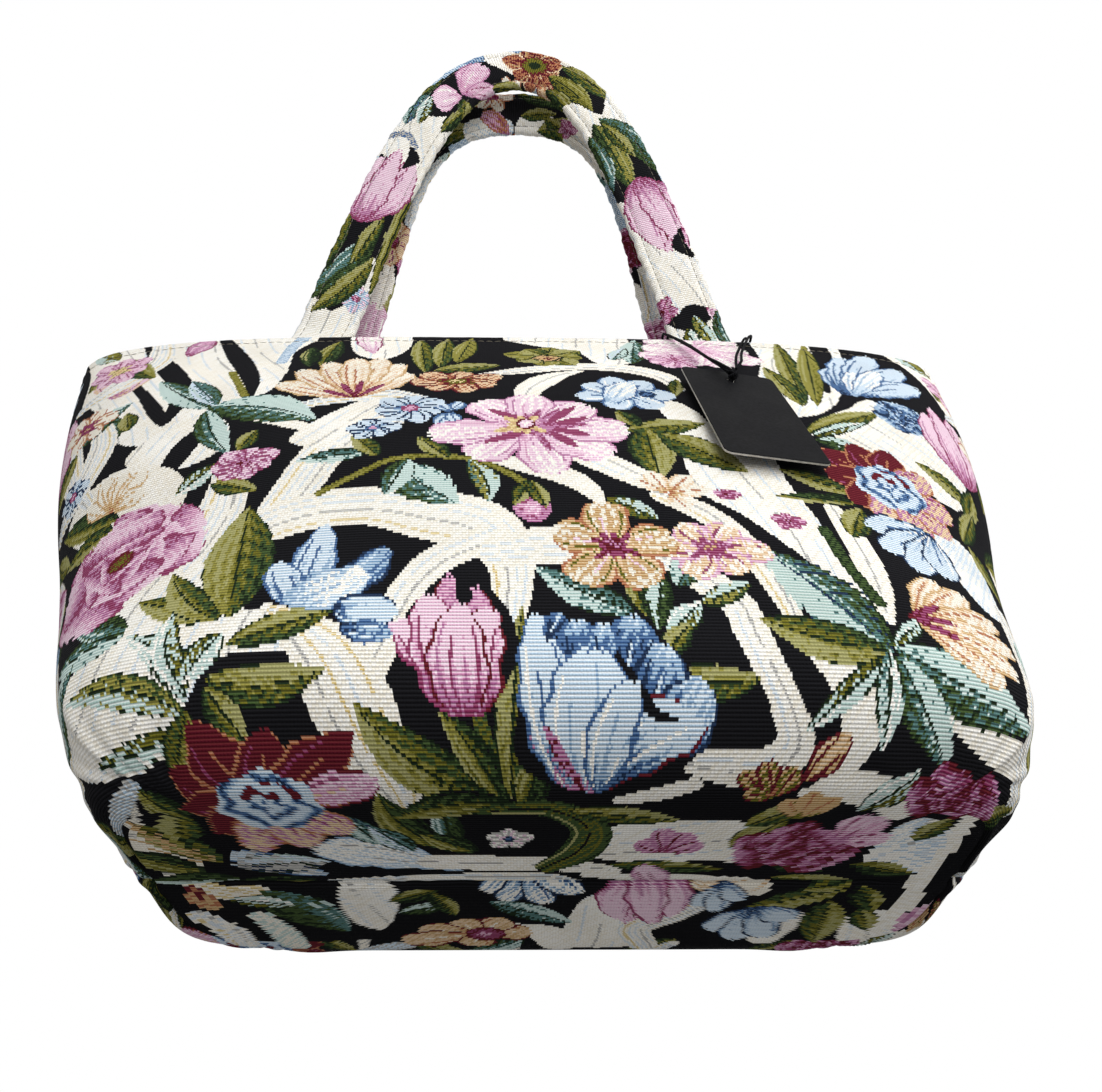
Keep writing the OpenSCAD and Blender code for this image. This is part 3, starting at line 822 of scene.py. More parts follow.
def weave_panel(cloth):
    """The cloth's floral design, as it lies on the front: u from the middle, v up from the base's seam."""
    # Curling bands of cream and the dark gaps in them, from the left to the right
    patch(cloth, [(-168, 250), (-162, 292), (-84, 292), (-85, 262), (-84, 236), (-88, 216), (-100, 208),
          (-112, 196), (-130, 192), (-146, 206), (-156, 226)], -24)
    each(cloth, gap,
         ([(-151, 294, 7), (-141, 269, 8), (-130, 248, 9), (-122, 232, 8), (-120, 216, 7), (-121, 203, 3)],),
         ([(-118, 288, 5), (-108, 263, 8), (-101, 246, 8), (-95, 228, 6), (-93, 215, 2)],),
         ([(-146, 246, 3), (-136, 229, 5), (-127, 212, 6), (-122, 202, 3)],))
    patch(cloth, [(-132, 186), (-120, 199), (-108, 204), (-99, 198), (-95, 186), (-98, 176), (-112, 171),
          (-126, 176)], 30)
    gap(cloth, [(-103, 198, 3), (-109, 186, 9), (-113, 174, 8), (-116, 166, 3)])
    patch(cloth, [(-156, 166), (-136, 180), (-114, 174), (-105, 162), (-106, 150), (-124, 156), (-140, 148)],
          None, "cream white")
    each(cloth, band,
         ([(-93, 166, 7), (-90, 150, 15), (-92, 134, 16), (-97, 118, 17), (-103, 104, 14), (-107, 92, 8)],
          THREADS), ([(-97, 202, 4), (-82, 194, 6), (-68, 185, 5), (-60, 181, 7)],),
         ([(-74, 203, 5), (-60, 208, 9), (-46, 210, 9), (-33, 205, 5)], THREADS),
         ([(-42, 188, 8), (-56, 178, 15), (-63, 166, 15), (-67, 154, 15), (-71, 142, 14)], THREADS))
    each(cloth, patch,
         ([(-112, 120), (-93, 126), (-84, 104), (-70, 99), (-58, 97), (-62, 86), (-78, 84), (-86, 70),
          (-96, 58), (-116, 62), (-124, 76), (-116, 94)], 20),
         ([(-74, 178), (-64, 194), (-50, 206), (-40, 198), (-46, 184), (-60, 172)], 40))
    each(cloth, band,
         ([(-85, 121, 8), (-75, 133, 17), (-60, 139, 18), (-44, 139, 18), (-30, 135, 22), (-17, 130, 22),
          (-9.5, 120, 16), (-8, 109, 11), (-9, 99, 9), (-9.5, 91, 6), (-10.5, 83, 2)], ((-0.62, "pearl"),
          (-0.25, "pearl"), (0.2, "grey"), (0.7, "straw"))),
         ([(-14, 124, 10), (-26, 116, 10), (-33, 107, 9), (-37, 97, 9), (-41, 88, 12), (-46, 78, 12),
          (-49, 68, 4)], ((-0.3, "grey"), (0.4, "pearl"))),
         ([(-68, 99, 4), (-60, 93, 11), (-52, 84, 17), (-46, 72, 19), (-41, 60, 16), (-37, 50, 11),
          (-36, 40, 4)], ((-0.6, "straw"), (-0.2, "pearl"), (0.15, "straw"), (0.55, "grey"))),
         ([(-120, 69, 8), (-104, 66, 8), (-90, 64, 7), (-80, 62, 4)],),
         ([(-14, 165, 4), (-3, 160, 8), (8, 154, 9), (15, 147, 7), (19, 137, 2)],),
         ([(-10, 119, 12), (0, 121, 15), (10, 122, 15)], ((-0.4, "pearl"), (0.1, "pearl"), (0.5, "pearl"))),
         ([(10, 170, 8), (20, 162, 11), (31, 153, 10), (42, 146, 7)], ((-0.3, "grey"), (0.4, "pearl"))),
         ([(36, 144, 7), (46, 137, 9), (53, 126, 9), (57, 114, 8), (59, 104, 7), (60, 94, 4)],
          ((-0.2, "grey"), (0.45, "straw"))),
         ([(30, 117, 6), (41, 108, 10), (47, 100, 9), (48, 92, 9), (50, 82, 8), (53, 72, 8), (54, 63, 9),
          (47, 57, 11), (36, 58, 9), (26, 60, 3)], ((-0.2, "grey"), (0.4, "pearl"))))
    patch(cloth, [(48, 176), (58, 190), (74, 186), (76, 160), (80, 136), (82, 108), (79, 102), (70, 118),
          (58, 136), (48, 146), (46, 158)], -8)
    each(cloth, band,
         ([(87, 146, 6), (88, 130, 9), (87, 114, 8), (84, 98, 4)], ((0, "grey"),)),
         ([(-13, 229, 3), (0, 234, 7), (14, 239, 8), (28, 241, 9), (42, 238, 10), (52, 230, 9),
          (55, 218, 5)], ((-0.3, "pearl"), (0.4, "grey"))),
         ([(0, 203, 6), (3, 214, 10), (9, 224, 10), (16, 231, 6), (23, 235, 2)], ((0.0, "grey"),)))
    each(cloth, patch,
         ([(44, 207), (53, 204), (58, 194), (60, 178), (50, 176), (46, 190)],),
         ([(-4, 284), (8, 292), (44, 292), (46, 262), (42, 246), (30, 246), (24, 262), (8, 272)], 12),
         ([(-64, 292), (-44, 292), (-40, 274), (-44, 256), (-52, 250), (-62, 262)], 0))
    each(cloth, band,
         ([(94, 244, 6), (101, 262, 10), (108, 278, 12), (112, 294, 12)], ((0.0, "grey"),)),
         ([(96, 192, 4), (108, 203, 8), (120, 214, 8), (128, 226, 4)],))
    each(cloth, patch,
         ([(102, 188), (110, 204), (126, 226), (150, 216), (154, 186), (142, 168), (122, 172)], -40),
         ([(86, 292), (88, 262), (80, 236), (66, 212), (72, 196), (90, 200), (104, 208), (116, 226),
          (124, 250), (134, 292)], 14))
    each(cloth, gap,
         ([(128, 292, 8), (124, 270, 8), (116, 246, 6), (112, 228, 2)],),
         ([(96, 292, 5), (92, 262, 7), (84, 236, 7), (74, 214, 3)],))
    patch(cloth, [(120, 146), (126, 152), (140, 146), (138, 126), (128, 112), (120, 118)], None, "white sky")
    each(cloth, band,
         ([(92, 72, 6), (103, 66, 10), (114, 65, 9), (128, 70, 4)],),
         ([(58, 90, 3), (66, 82, 9), (70, 70, 10), (66, 58, 6)],),
         ([(58, 50, 4), (66, 52, 10), (76, 49, 12), (82, 40, 6)],))
    patch(cloth, [(8, 18), (10, 32), (28, 37), (46, 36), (56, 26), (52, 12), (40, 15), (24, 13)], 80)
    each(cloth, band,
         ([(8, 6, 3), (30, 3, 6), (52, 1, 6)],),
         ([(-58, 0, 7), (-30, 2, 9), (-4, 3, 8), (6, 0, 4)], THREADS),
         ([(101, 56, 3), (100, 30, 5), (99, 0, 6)],),
         ([(112, 50, 4), (120, 70, 12), (130, 92, 14), (136, 118, 10)], THREADS),
         ([(-101, 50, 3), (-103, 26, 5), (-101, 0, 5)], (), "cream grey"),
         ([(-124, 60, 6), (-134, 84, 13), (-146, 108, 12)], THREADS),
         ([(-146, 172, 6), (-158, 188, 13), (-166, 214, 12)], THREADS),
         ([(14, 47, 3), (22, 49, 5), (32, 53, 4)],))
    each(cloth, petal,
         ((-24, 8), (-62, 22), 19, "white sky blue", 0.66, 0.6, 3, 5, "sky grey", "blue"),
         ((-60, 6), (-84, 19), 13, "sky grey blue", 0.6, 0.6, 0, 4, "white deep", "deep"))
    band(cloth, [(-32, 14, 8), (-16, 13, 9), (0, 12, 8), (16, 9, 4)], ((0, "grey"),))
    each(cloth, patch,
         ([(80, 12), (84, 34), (92, 38), (98, 30), (97, 8), (88, 6)], 10, "white sky"),
         ([(-106, 12), (-104, 30), (-96, 26), (-92, 12)], None, "cream tan"))
    each(cloth, band,
         ([(-100, 54, 6), (-108, 48, 8), (-118, 44, 6)], (), "sky grey"),
         ([(-166, 122, 8), (-160, 104, 12), (-168, 84, 10)],),
         ([(156, 150, 8), (162, 132, 12), (158, 112, 8)],), ([(150, 96, 6), (152, 76, 12), (162, 58, 8)],),
         ([(-150, 76, 6), (-140, 62, 11), (-146, 48, 6)],),
         ([(160, 292, 12), (170, 268, 12), (172, 240, 8)],))
    # Stems and leaves
    each(cloth, stem,
         ([(-61, 147), (-50, 156), (-40, 163), (-25, 164), (-14, 161), (-6, 154), (-2, 149)], 2.6,
          "moss olive"), ([(-18, 72), (-15, 58), (-13, 44)], 3.4),
         ([(-105, 241), (-100, 228), (-95, 215)], 3.0, "moss olive"))
    each(cloth, leaf,
         ((-48, 168), (-70, 165), 8, "ice teal forest"), ((-45, 165), (-54, 179), 8),
         ((-40, 160), (-21, 139), 18, TEALS, 1, 6, 0.3), ((-36, 163), (-42, 144), 10, TEALS, 0, 5, 0.3),
         ((-18, 162), (-13, 140), 9, "ice moss teal", -2), ((-24, 163), (-34, 176), 8),
         ((-77, 97), (-81, 144), 20), ((-79, 97), (-104, 107), 11), ((-80, 96), (-97, 117), 10, GREENS, -2),
         ((-76, 88), (-51, 99), 10), ((-80, 79), (-52, 81), 11, GREENS, 3), ((-80, 77), (-70, 64), 8),
         ((-84, 74), (-104, 95), 9, PALE_GREENS, 3, 6, 0.25),
         ((-84, 76), (-92, 101), 9, PALE_GREENS, -3, 6, 0.25),
         ((-84, 71), (-119, 80), 10, "ice moss green", 3, 6, 0.25),
         ((-84, 68), (-110, 62), 8, PALE_GREENS, -2, 6, 0.25), ((-84, 72), (-88, 54), 9, "moss olive green"),
         ((-104, 96), (-130, 92), 12, TEALS, 0, 6, 0.25), ((-104, 98), (-126, 106), 10, "teal green forest"),
         ((-78, 92), (-86, 78), 9, PALE_GREENS), ((-107, 209), (-67, 191), 22, TEALS, -4, 8, 0.25),
         ((-106, 208), (-133, 241), 13, TEALS, -1, 8, 0.2), ((-104, 210), (-119, 236), 11, "sky teal green"),
         ((-107, 207), (-93, 175), 12, TEALS, 2, 6, 0.2), ((-96, 160), (-80, 152), 9),
         ((-96, 170), (-108, 158), 9, PALE_GREENS), ((-90, 176), (-86, 188), 8),
         ((-128, 156), (-160, 164), 13, DARK_GREENS), ((-128, 152), (-152, 146), 11),
         ((-140, 200), (-152, 222), 13, TEALS), ((-136, 204), (-140, 218), 9),
         ((-72, 243), (-69, 279), 10, DARK_GREENS), ((-76, 243), (-79, 270), 9, "green forest black"),
         ((-33, 232), (-37, 282), 10), ((-28, 238), (-26, 284), 10),
         ((-22, 244), (-16, 284), 10, "moss moss olive"), ((-30, 234), (-6, 241), 12),
         ((43, 246), (50, 284), 12, TEALS), ((36, 250), (44, 270), 8, "sky ice teal"),
         ((31, 181), (58, 189), 11), ((37, 183), (37, 153), 15), ((41, 180), (65, 160), 16),
         ((36, 184), (30, 196), 8, DARK_GREENS), ((56, 228), (52, 210), 6),
         ((20, 142), (33, 133), 9, "ice olive green"), ((24, 96), (22, 114), 7, DARK_GREENS),
         ((26, 92), (30, 112), 7, "ice green forest"), ((21, 97), (-2, 113), 11, "ice teal forest", -1),
         ((33, 106), (40, 119), 9, "ice teal green"), ((38, 100), (52, 108), 7, "ice moss green"),
         ((28, 90), (38, 101), 8, PALE_GREENS), ((28, 80), (48, 79), 9, GREENS, 2), ((26, 84), (34, 94), 7),
         ((81, 87), (58, 122), 21, TEALS, 1, 9, 0.3, "navy"), ((80, 87), (51, 96), 14, GREENS, -2),
         ((82, 88), (117, 73), 20, TEALS, 2, 9, 0.3), ((82, 86), (91, 58), 14, TEALS, 1, 7, 0.3),
         ((80, 86), (56, 66), 6, PALE_GREENS), ((80, 87), (74, 62), 7, "white ice teal"),
         ((82, 89), (95, 100), 5, PALE_GREENS), ((98, 157), (75, 164), 9),
         ((99, 153), (70, 149), 6, DARK_GREENS), ((88, 133), (97, 150), 10))
    stem(cloth, [(80, 134), (81, 118), (84, 104)], 4.0, "green forest")
    each(cloth, leaf,
         ((92, 190), (128, 217), 11), ((93, 188), (118, 205), 6, PALE_GREENS), ((98, 211), (110, 290), 10),
         ((103, 213), (122, 290), 10, "moss moss olive"), ((97, 211), (94, 251), 10),
         ((94, 186), (112, 184), 10, "ice green forest"), ((152, 174), (130, 186), 10),
         ((156, 184), (146, 164), 10), ((138, 152), (152, 172), 9),
         ((-12, 46), (-46, 73), 15, GREENS, -3, 8), ((-12, 44), (-27, 72), 9, DARK_GREENS, 2),
         ((-11, 48), (-6, 99), 9, GREENS, -1), ((-12, 44), (-30, 54), 8, "moss olive green"),
         ((-28, 22), (-42, 50), 12, DARK_GREENS, -3), ((-26, 22), (-28, 46), 8, "teal green forest"),
         ((-10, 46), (-40, 38), 12, DARK_GREENS, 3), ((-8, 44), (-4, 62), 9, DARK_GREENS))
    band(cloth, [(-2, 11, 7), (6, 20, 11), (8, 33, 10), (-2, 43, 8), (-18, 42, 4)], ((-0.7, "sage"),
         (-0.1, "black"), (0.5, "olive")), "olive green forest")
    each(cloth, leaf,
         ((2, 42), (30, 37), 9), ((44, 22), (56, 38), 10), ((90, 26), (96, 38), 8),
         ((-86, 14), (-104, 36), 12, "tan olive green"), ((-92, 8), (-112, 20), 12, DARK_GREENS),
         ((-94, 22), (-90, 44), 11), ((-44, 24), (-52, 40), 9, "ice teal navy"),
         ((-36, 20), (-46, 34), 9, "sky teal forest"), ((-20, 20), (-34, 30), 9, DARK_GREENS),
         ((14, 12), (44, 9), 8, "olive green forest"), ((46, 34), (60, 46), 9),
         ((78, 12), (96, 6), 9, DARK_GREENS), ((58, 4), (84, -1), 9), ((-62, 2), (-90, -1), 10, DARK_GREENS),
         ((-84, 4), (-108, 2), 10, "ice green forest"))
    petal(cloth, (30, -4), (22, 12), 10, PINKS, 0.6, 0.55, 0, 3, "magenta", "rose")
    each(cloth, leaf,
         ((72, 42), (84, 58), 9, PALE_GREENS), ((104, 40), (116, 56), 10, DARK_GREENS),
         ((124, 58), (132, 84), 11), ((128, 92), (144, 112), 12, TEALS), ((-118, 40), (-132, 62), 12),
         ((-132, 70), (-120, 92), 11, TEALS), ((-144, 128), (-162, 112), 13),
         ((-134, 100), (-152, 122), 13, "teal green forest"), ((-88, 38), (-98, 54), 9, DARK_GREENS),
         ((-84, 12), (-58, 14), 12, "sky grey navy"), ((54, 14), (72, 8), 8, DARK_GREENS),
         ((150, 130), (140, 152), 11), ((-150, 40), (-130, 60), 12, TEALS), ((140, 40), (156, 60), 12))
    # Flowers
    rose(cloth, (-119, 131), 29, 20, "blush blush pink rose magenta", 1.05, "olive wine")
    fan(cloth, (-132, 160), [(-144, 168), (-139, 178), (-131, 178), (-122, 176), (-120, 166)], 10, PEACHES,
        2, "tan", "tan")
    star(cloth, (-87, 168), 13, 12, 7, "blush rose magenta", "wine rose", 0.72)
    each(cloth, fan,
         ((-56, 207), [(-86, 226), (-80, 240), (-38, 232), (-42, 244), (-70, 248), (-50, 252), (-60, 253)],
          13, "cream peach tan", 2, "rust", "tan"),
         ((-56, 207), [(-62, 222), (-55, 224), (-47, 220), (-68, 216)], 3, "magenta wine", 0),
         ((-30, 216), [(-37, 226), (-33, 231), (-26, 230)], 8, "peach tan rust", 1, "wine", "wine"))
    blossom(cloth, (-22, 222), 19, 10, 7, "peach rust wine", "wine olive", 0.62, "wine")
    dot(cloth, (-22, 222), 3.6, 0.7, "straw olive")
    petal(cloth, (-54, 258), (-60, 294), 12, "white blush pink", 0.6, 0.6, 0, 2, "pink", "magenta")
    band(cloth, [(-88, 250, 4), (-87, 270, 5), (-84, 292, 6)], (), "sky blue")
    petal(cloth, (-128, 266), (-124, 288), 12, "pink rose magenta", 0.6, 0.5, 0, 2, "blush", "magenta")
    fan(cloth, (-150, 234), [(-166, 262), (-158, 270), (-140, 252), (-148, 262)], 11, "blush peach rose", 1)
    each(cloth, star,
         ((-37, 197), 14, 6, 7, BLUES, "pink magenta", 0.9),
         ((-48, 183), 10, 30, 6, BLUES, "pink deep", 0.8))
    fan(cloth, (-24, 194), [(-20, 202), (-28, 200), (-28, 184), (-22, 186)], 6, BLUES, 1, "deep", "deep")
    petals = [((-18, 163), 18), ((7, 154), 17), ((25, 164), 18), ((-31, 177), 18), ((33, 181), 20),
              ((-15, 203), 19), ((22, 200), 19), ((3, 209), 18)]
    for tip, width in petals:
        petal(cloth, (0, 183), tip, width, "white blush blush pink rose", 0.66, 0.5, 0, 4, "rose pink",
              "rose")
    each(cloth, fan,
         ((2, 183), ring_of((4, 184), 17, 13, 5, 1.0, 0.3), 3, "magenta rose pink", 0, "magenta", None, 0.8),
         ((5, 183), [(17, 199), (21, 190), (20, 177), (15, 169), (-12, 196), (-14, 172)], 4,
          "magenta magenta rose", 0, "magenta", None, 0.8),
         ((0, 184), ring_of((-2, 184), 10, 9, 0, 1.0, 0.3), 3, "straw tan olive", 0, "magenta", None, 0.7))
    each(cloth, dot,
         ((0, 185), 3, 1.2, "white blush wine"), ((-1, 137), 5.2, 1.2, "blush pink rose"))
    for k in range(9):
        dot(cloth, (-1 + 3.4 * cosd(k * 137), 137 + 4.4 * sind(k * 137)), 1.1, 1.0, "magenta rose")
    each(cloth, leaf,
         ((-1, 151), (-6, 138), 6), ((-1, 151), (3, 137), 6))
    patch(cloth, [(-36, 82), (-34, 97), (-26, 107), (-17, 114), (-14, 106), (-9, 96), (-8, 84), (-14, 73),
          (-22, 70), (-31, 74)], None, "black black")
    each(cloth, petal,
         ((-20, 72), (-24, 111), 12, "pink rose magenta", 0.6, 0.8, 0, 3, "blush wine", "wine"),
         ((-19, 72), (-17, 107), 11, "pink rose magenta", 0.6, 0.8, 0, 3, "wine blush", "wine"))
    gap(cloth, [(-22, 109, 1), (-20, 103, 4), (-21, 97, 1)])
    each(cloth, petal,
         ((-23, 72), (-38, 95), 14, PINKS, 0.55, 0.7, 3, 4, "magenta rose", "magenta"),
         ((-20, 70), (-13, 99), 19, PINKS, 0.38, 0.6, -3, 4, "rose magenta", "wine"),
         ((-23, 70), (-30, 104), 17, PINKS, 0.45, 0.65, 1, 4, "magenta rose", "magenta"),
         ((-21, 70), (-21, 101), 16, PINKS, 0.38, 0.65, -1, 4, "rose magenta", "wine"))
    patch(cloth, [(-68, 103), (-62, 122), (-56, 131), (-50, 122), (-38, 116), (-44, 104), (-54, 99)], None,
          "black black")
    each(cloth, petal,
         ((-62, 101), (-57, 132), 13, BLUES, 0.45, 0.7, 1, 2, "deep", "deep"),
         ((-58, 100), (-39, 121), 12, "blue deep navy", 0.55, 0.6, 2, 2, "sky", "navy"),
         ((-60, 99), (-68, 117), 11, BLUES, 0.55, 0.6, -1, 2, "deep", "deep"),
         ((-64, 101), (-44, 112), 14, "white sky blue", 0.5, 0.5, 1, 3, "blue", "blue"),
         ((-52, 99), (-36, 97), 14, BLUES, 0.5, 0.5, 1, 2, "sky", "navy"),
         ((-50, 92), (-37, 90), 8, "blue deep navy", 0.5, 0.6, 0, 1, "sky"))
    fan(cloth, (35, 210), [(18, 208), (22, 221), (32, 229), (45, 225), (53, 211), (46, 199), (30, 197)], 12,
        BLUES, 3, "white deep", "deep")
    petal(cloth, (29, 202), (38, 223), 13, "white sky blue", 0.55, 0.5, 0, 3, "blue", "deep")
    dot(cloth, (43, 211), 3, 1.0, "deep navy")
    for k, tip in enumerate(ring_of((12, 255), 17, 8, 10, 0.95)):
        leaf(cloth, (12, 255), tip, 12, GREENS if k % 2 else "moss moss olive", 0, 5, 0.1, "forest", 0.6)
    dot(cloth, (12, 252), 6, 0.8, "wine tan forest")
    each(cloth, fan,
         ((72, 268), ring_of((72, 268), 27, 9, 0, 1.0), 18, "white blush pink", 2, "pink", "pink", 0.45),
         ((60, 254), ring_of((60, 252), 12, 8, 20), 8, "blush pink magenta", 1, "magenta", "rose"))
    blossom(cloth, (45, 121), 17, 30, 6, "white peach blush tan pink", "magenta rose", 0.8, "magenta rose")
    each(cloth, fan,
         ((19, 121), [(4, 128), (18, 140), (36, 125), (27, 106), (8, 107)], 15, "cream tan peach straw rust",
          4, "olive blush tan", "rust", 0.45, 0.68),
         ((19, 121), ring_of((19, 121), 8, 10, 9, 1.0, 0.25), 2.4, "magenta wine", 0, "magenta", None, 0.8))
    dot(cloth, (19, 122), 2.4, 1.0, "rose wine")
    fan(cloth, (38, 146), [(30, 152), (34, 157), (46, 156), (50, 149), (42, 138)], 7, PEACHES, 1, "rust")
    each(cloth, star,
         ((55, 147), 5, 0, 5, "pink rose magenta", "wine rose", 0.6),
         ((70, 136), 6, 0, 5, "pink rose magenta", "wine rose", 0.8))
    patch(cloth, [(-10, 62), (-7, 78), (-4, 92), (0, 96), (14, 95), (27, 88), (33, 76), (32, 62), (22, 53),
          (8, 50), (-4, 54)], None, "black black")
    each(cloth, petal,
         ((10, 66), (6, 96), 13, "sky blue deep navy", 0.6, 0.6, 0, 3, "navy sky", "deep", 1.0),
         ((14, 66), (21, 97), 14, "sky blue deep navy", 0.6, 0.6, 0, 3, "navy sky", "deep", 1.0),
         ((11, 66), (13, 95), 10, "sky blue deep navy", 0.6, 0.6, 0, 2, "navy", "deep", 0.95),
         ((15, 62), (27, 88), 14, "sky blue deep navy", 0.6, 0.6, 2, 3, "navy sky", "navy", 0.9),
         ((13, 60), (35, 79), 16, "sky blue deep navy", 0.62, 0.6, 4, 4, "deep sky", "navy", 0.8),
         ((8, 50), (34, 70), 19, "sky sky blue deep navy", 0.6, 0.55, -5, 5, "deep white", "wine", 0.6))
    gap(cloth, [(15, 84, 2), (18, 77, 4), (22, 71, 3), (27, 69, 1)])
    each(cloth, petal,
         ((4, 51), (-3, 98), 15, "sky sky blue rose", 0.42, 0.6, -2, 4, "white deep", "deep"),
         ((-1, 88), (3, 97), 6, "blue deep navy", 0.6, 0.6, 0, 1, "sky", "deep", 1.0),
         ((7, 50), (10, 87), 23, "sky sky sky blue rose", 0.52, 0.55, -1, 6, "white blue", "deep"),
         ((9, 50), (19, 79), 12, "sky sky blue deep", 0.5, 0.6, -2, 3, "white blue", "deep"),
         ((6, 50), (-3, 68), 3, "rose wine", 0.6, 0.55, 0, 0))
    for tip in ((92, 180), (90, 166), (95, 152), (106, 188), (120, 188)):
        petal(cloth, (112, 166), tip, 15, "wine wine wine magenta", 0.55, 0.85, 0, 3, "magenta rust", "rust")
    for tip in ((104, 144), (118, 142), (131, 148), (137, 160), (132, 176)):
        petal(cloth, (112, 166), tip, 14, "peach rose wine", 0.6, 0.6, 0, 2, "magenta", "rust")
    eye(cloth, (113, 165), 13, 0.9)
    each(cloth, fan,
         ((120, 146), [(95, 141), (96, 129), (103, 121), (114, 122)], 13, BLUES, 3, "white deep", "navy"),
         ((92, 99), [(107, 119), (116, 116), (123, 107), (124, 97), (119, 87), (110, 81)], 11,
          "cream peach tan", 2, "rust", "tan"),
         ((90, 100), [(102, 106), (104, 100), (103, 94)], 3, "magenta wine", 0),
         ((118, 228), [(124, 258), (134, 274), (148, 282), (158, 270), (160, 254)], 15, BLUES, 2, "deep",
          "deep"), ((122, 228), [(132, 256), (144, 262)], 11, "white sky blue", 2, "blue", "deep"))
    rose(cloth, (139, 218), 14, 60, "sky blue deep navy", 1.1)
    tulip(cloth, (156, 186), (160, 238), 24)
    for tip in ((-90, 58), (-84, 70), (-66, 68), (-46, 67), (-90, 44), (-84, 30)):
        petal(cloth, (-68, 46), tip, 16, "wine wine wine magenta", 0.5, 0.9, 0, 3, "magenta rust", "rust")
    for tip in ((-76, 20), (-62, 22), (-50, 30)):
        petal(cloth, (-68, 46), tip, 14, "peach rose wine", 0.6, 0.6, 0, 2, "magenta", "rust")
    petal(cloth, (-66, 46), (-41, 54), 14, "blush pink rust wine", 0.6, 0.7, 0, 3, "magenta peach", "wine")
    eye(cloth, (-68, 45), 13, 0.98)
    star(cloth, (-12, 27), 7, 0, 5, "white blush grey", "deep navy", 0.9)
    fan(cloth, (50, 48), [(42, 57), (48, 60), (55, 58), (43, 50)], 7, "tan olive rust", 1, "wine", "wine")
    petal(cloth, (57, 54), (67, 67), 8, "peach tan wine", 0.5, 0.7, 0, 2, "wine", "wine")
    fan(cloth, (58, 38), [(54, 48), (60, 51), (66, 49)], 7, "tan tan olive", 1, "rust")
    each(cloth, rose,
         ((94, 49), 15, 10, "pink rose magenta wine", 0.62),
         ((62, 22), 18, 80, "pink rose magenta wine", 0.8))
    each(cloth, fan,
         ((70, 26), [(80, 38), (76, 40), (84, 28)], 10, "blush pink rose"),
         ((28, 19), [(20, 26), (26, 33), (33, 31), (37, 25)], 8, "pink rose magenta", 1, "wine"))
    rose(cloth, (-152, 100), 17, 40, "sky blue blue navy")
    blossom(cloth, (150, 106), 16, 10)
    weave_join(cloth)


def weave_join(cloth):
    """Where the repeat meets itself: at the bag's sides, and in the middle of the back."""
    each(cloth, band,
         ([(140, 44, 4), (154, 60, 11), (172, 66, 13), (190, 58, 5)], THREADS),
         ([(176, 92, 4), (186, 112, 12), (180, 134, 14), (168, 150, 6)], THREADS),
         ([(170, 168, 5), (184, 180, 12), (190, 200, 13), (182, 222, 5)], THREADS),
         ([(168, 236, 5), (184, 246, 13), (196, 264, 13), (192, 290, 9)], THREADS))
    each(cloth, leaf,
         ((166, 92), (150, 66), 14, TEALS, 2, 7, 0.25), ((168, 92), (188, 74), 12),
         ((170, 158), (186, 148), 11, GREENS, 2), ((170, 160), (150, 150), 12, DARK_GREENS),
         ((176, 204), (166, 182), 10), ((178, 206), (196, 226), 13, TEALS, -2, 7, 0.25),
         ((178, 272), (168, 250), 11), ((180, 274), (200, 246), 13, DARK_GREENS, 2),
         ((176, 276), (160, 290), 11, "ice moss olive"))
    stem(cloth, [(168, 88), (172, 104), (170, 122)], 2.6, "moss olive")
    rose(cloth, (170, 128), 20, 30, PINKS, 1.0, "olive wine")
    tulip(cloth, (168, 62), (172, 100), 20, "sky blue deep navy", "blue sky", "white")
    blossom(cloth, (178, 218), 15, 20, 6, PEACHES, "magenta wine", 0.9)
    each(cloth, star,
         ((180, 180), 10, 12, 6, BLUES, "pink magenta", 0.9),
         ((156, 82), 9, 0, 6, "blush pink rose", "wine rose", 0.9))
    blossom(cloth, (180, 262), 16, 0, 7, "blush pink rose", "straw olive", 0.9, "magenta")
    star(cloth, (190, 96), 8, 20, 6, BLUES, "pink deep", 0.9)


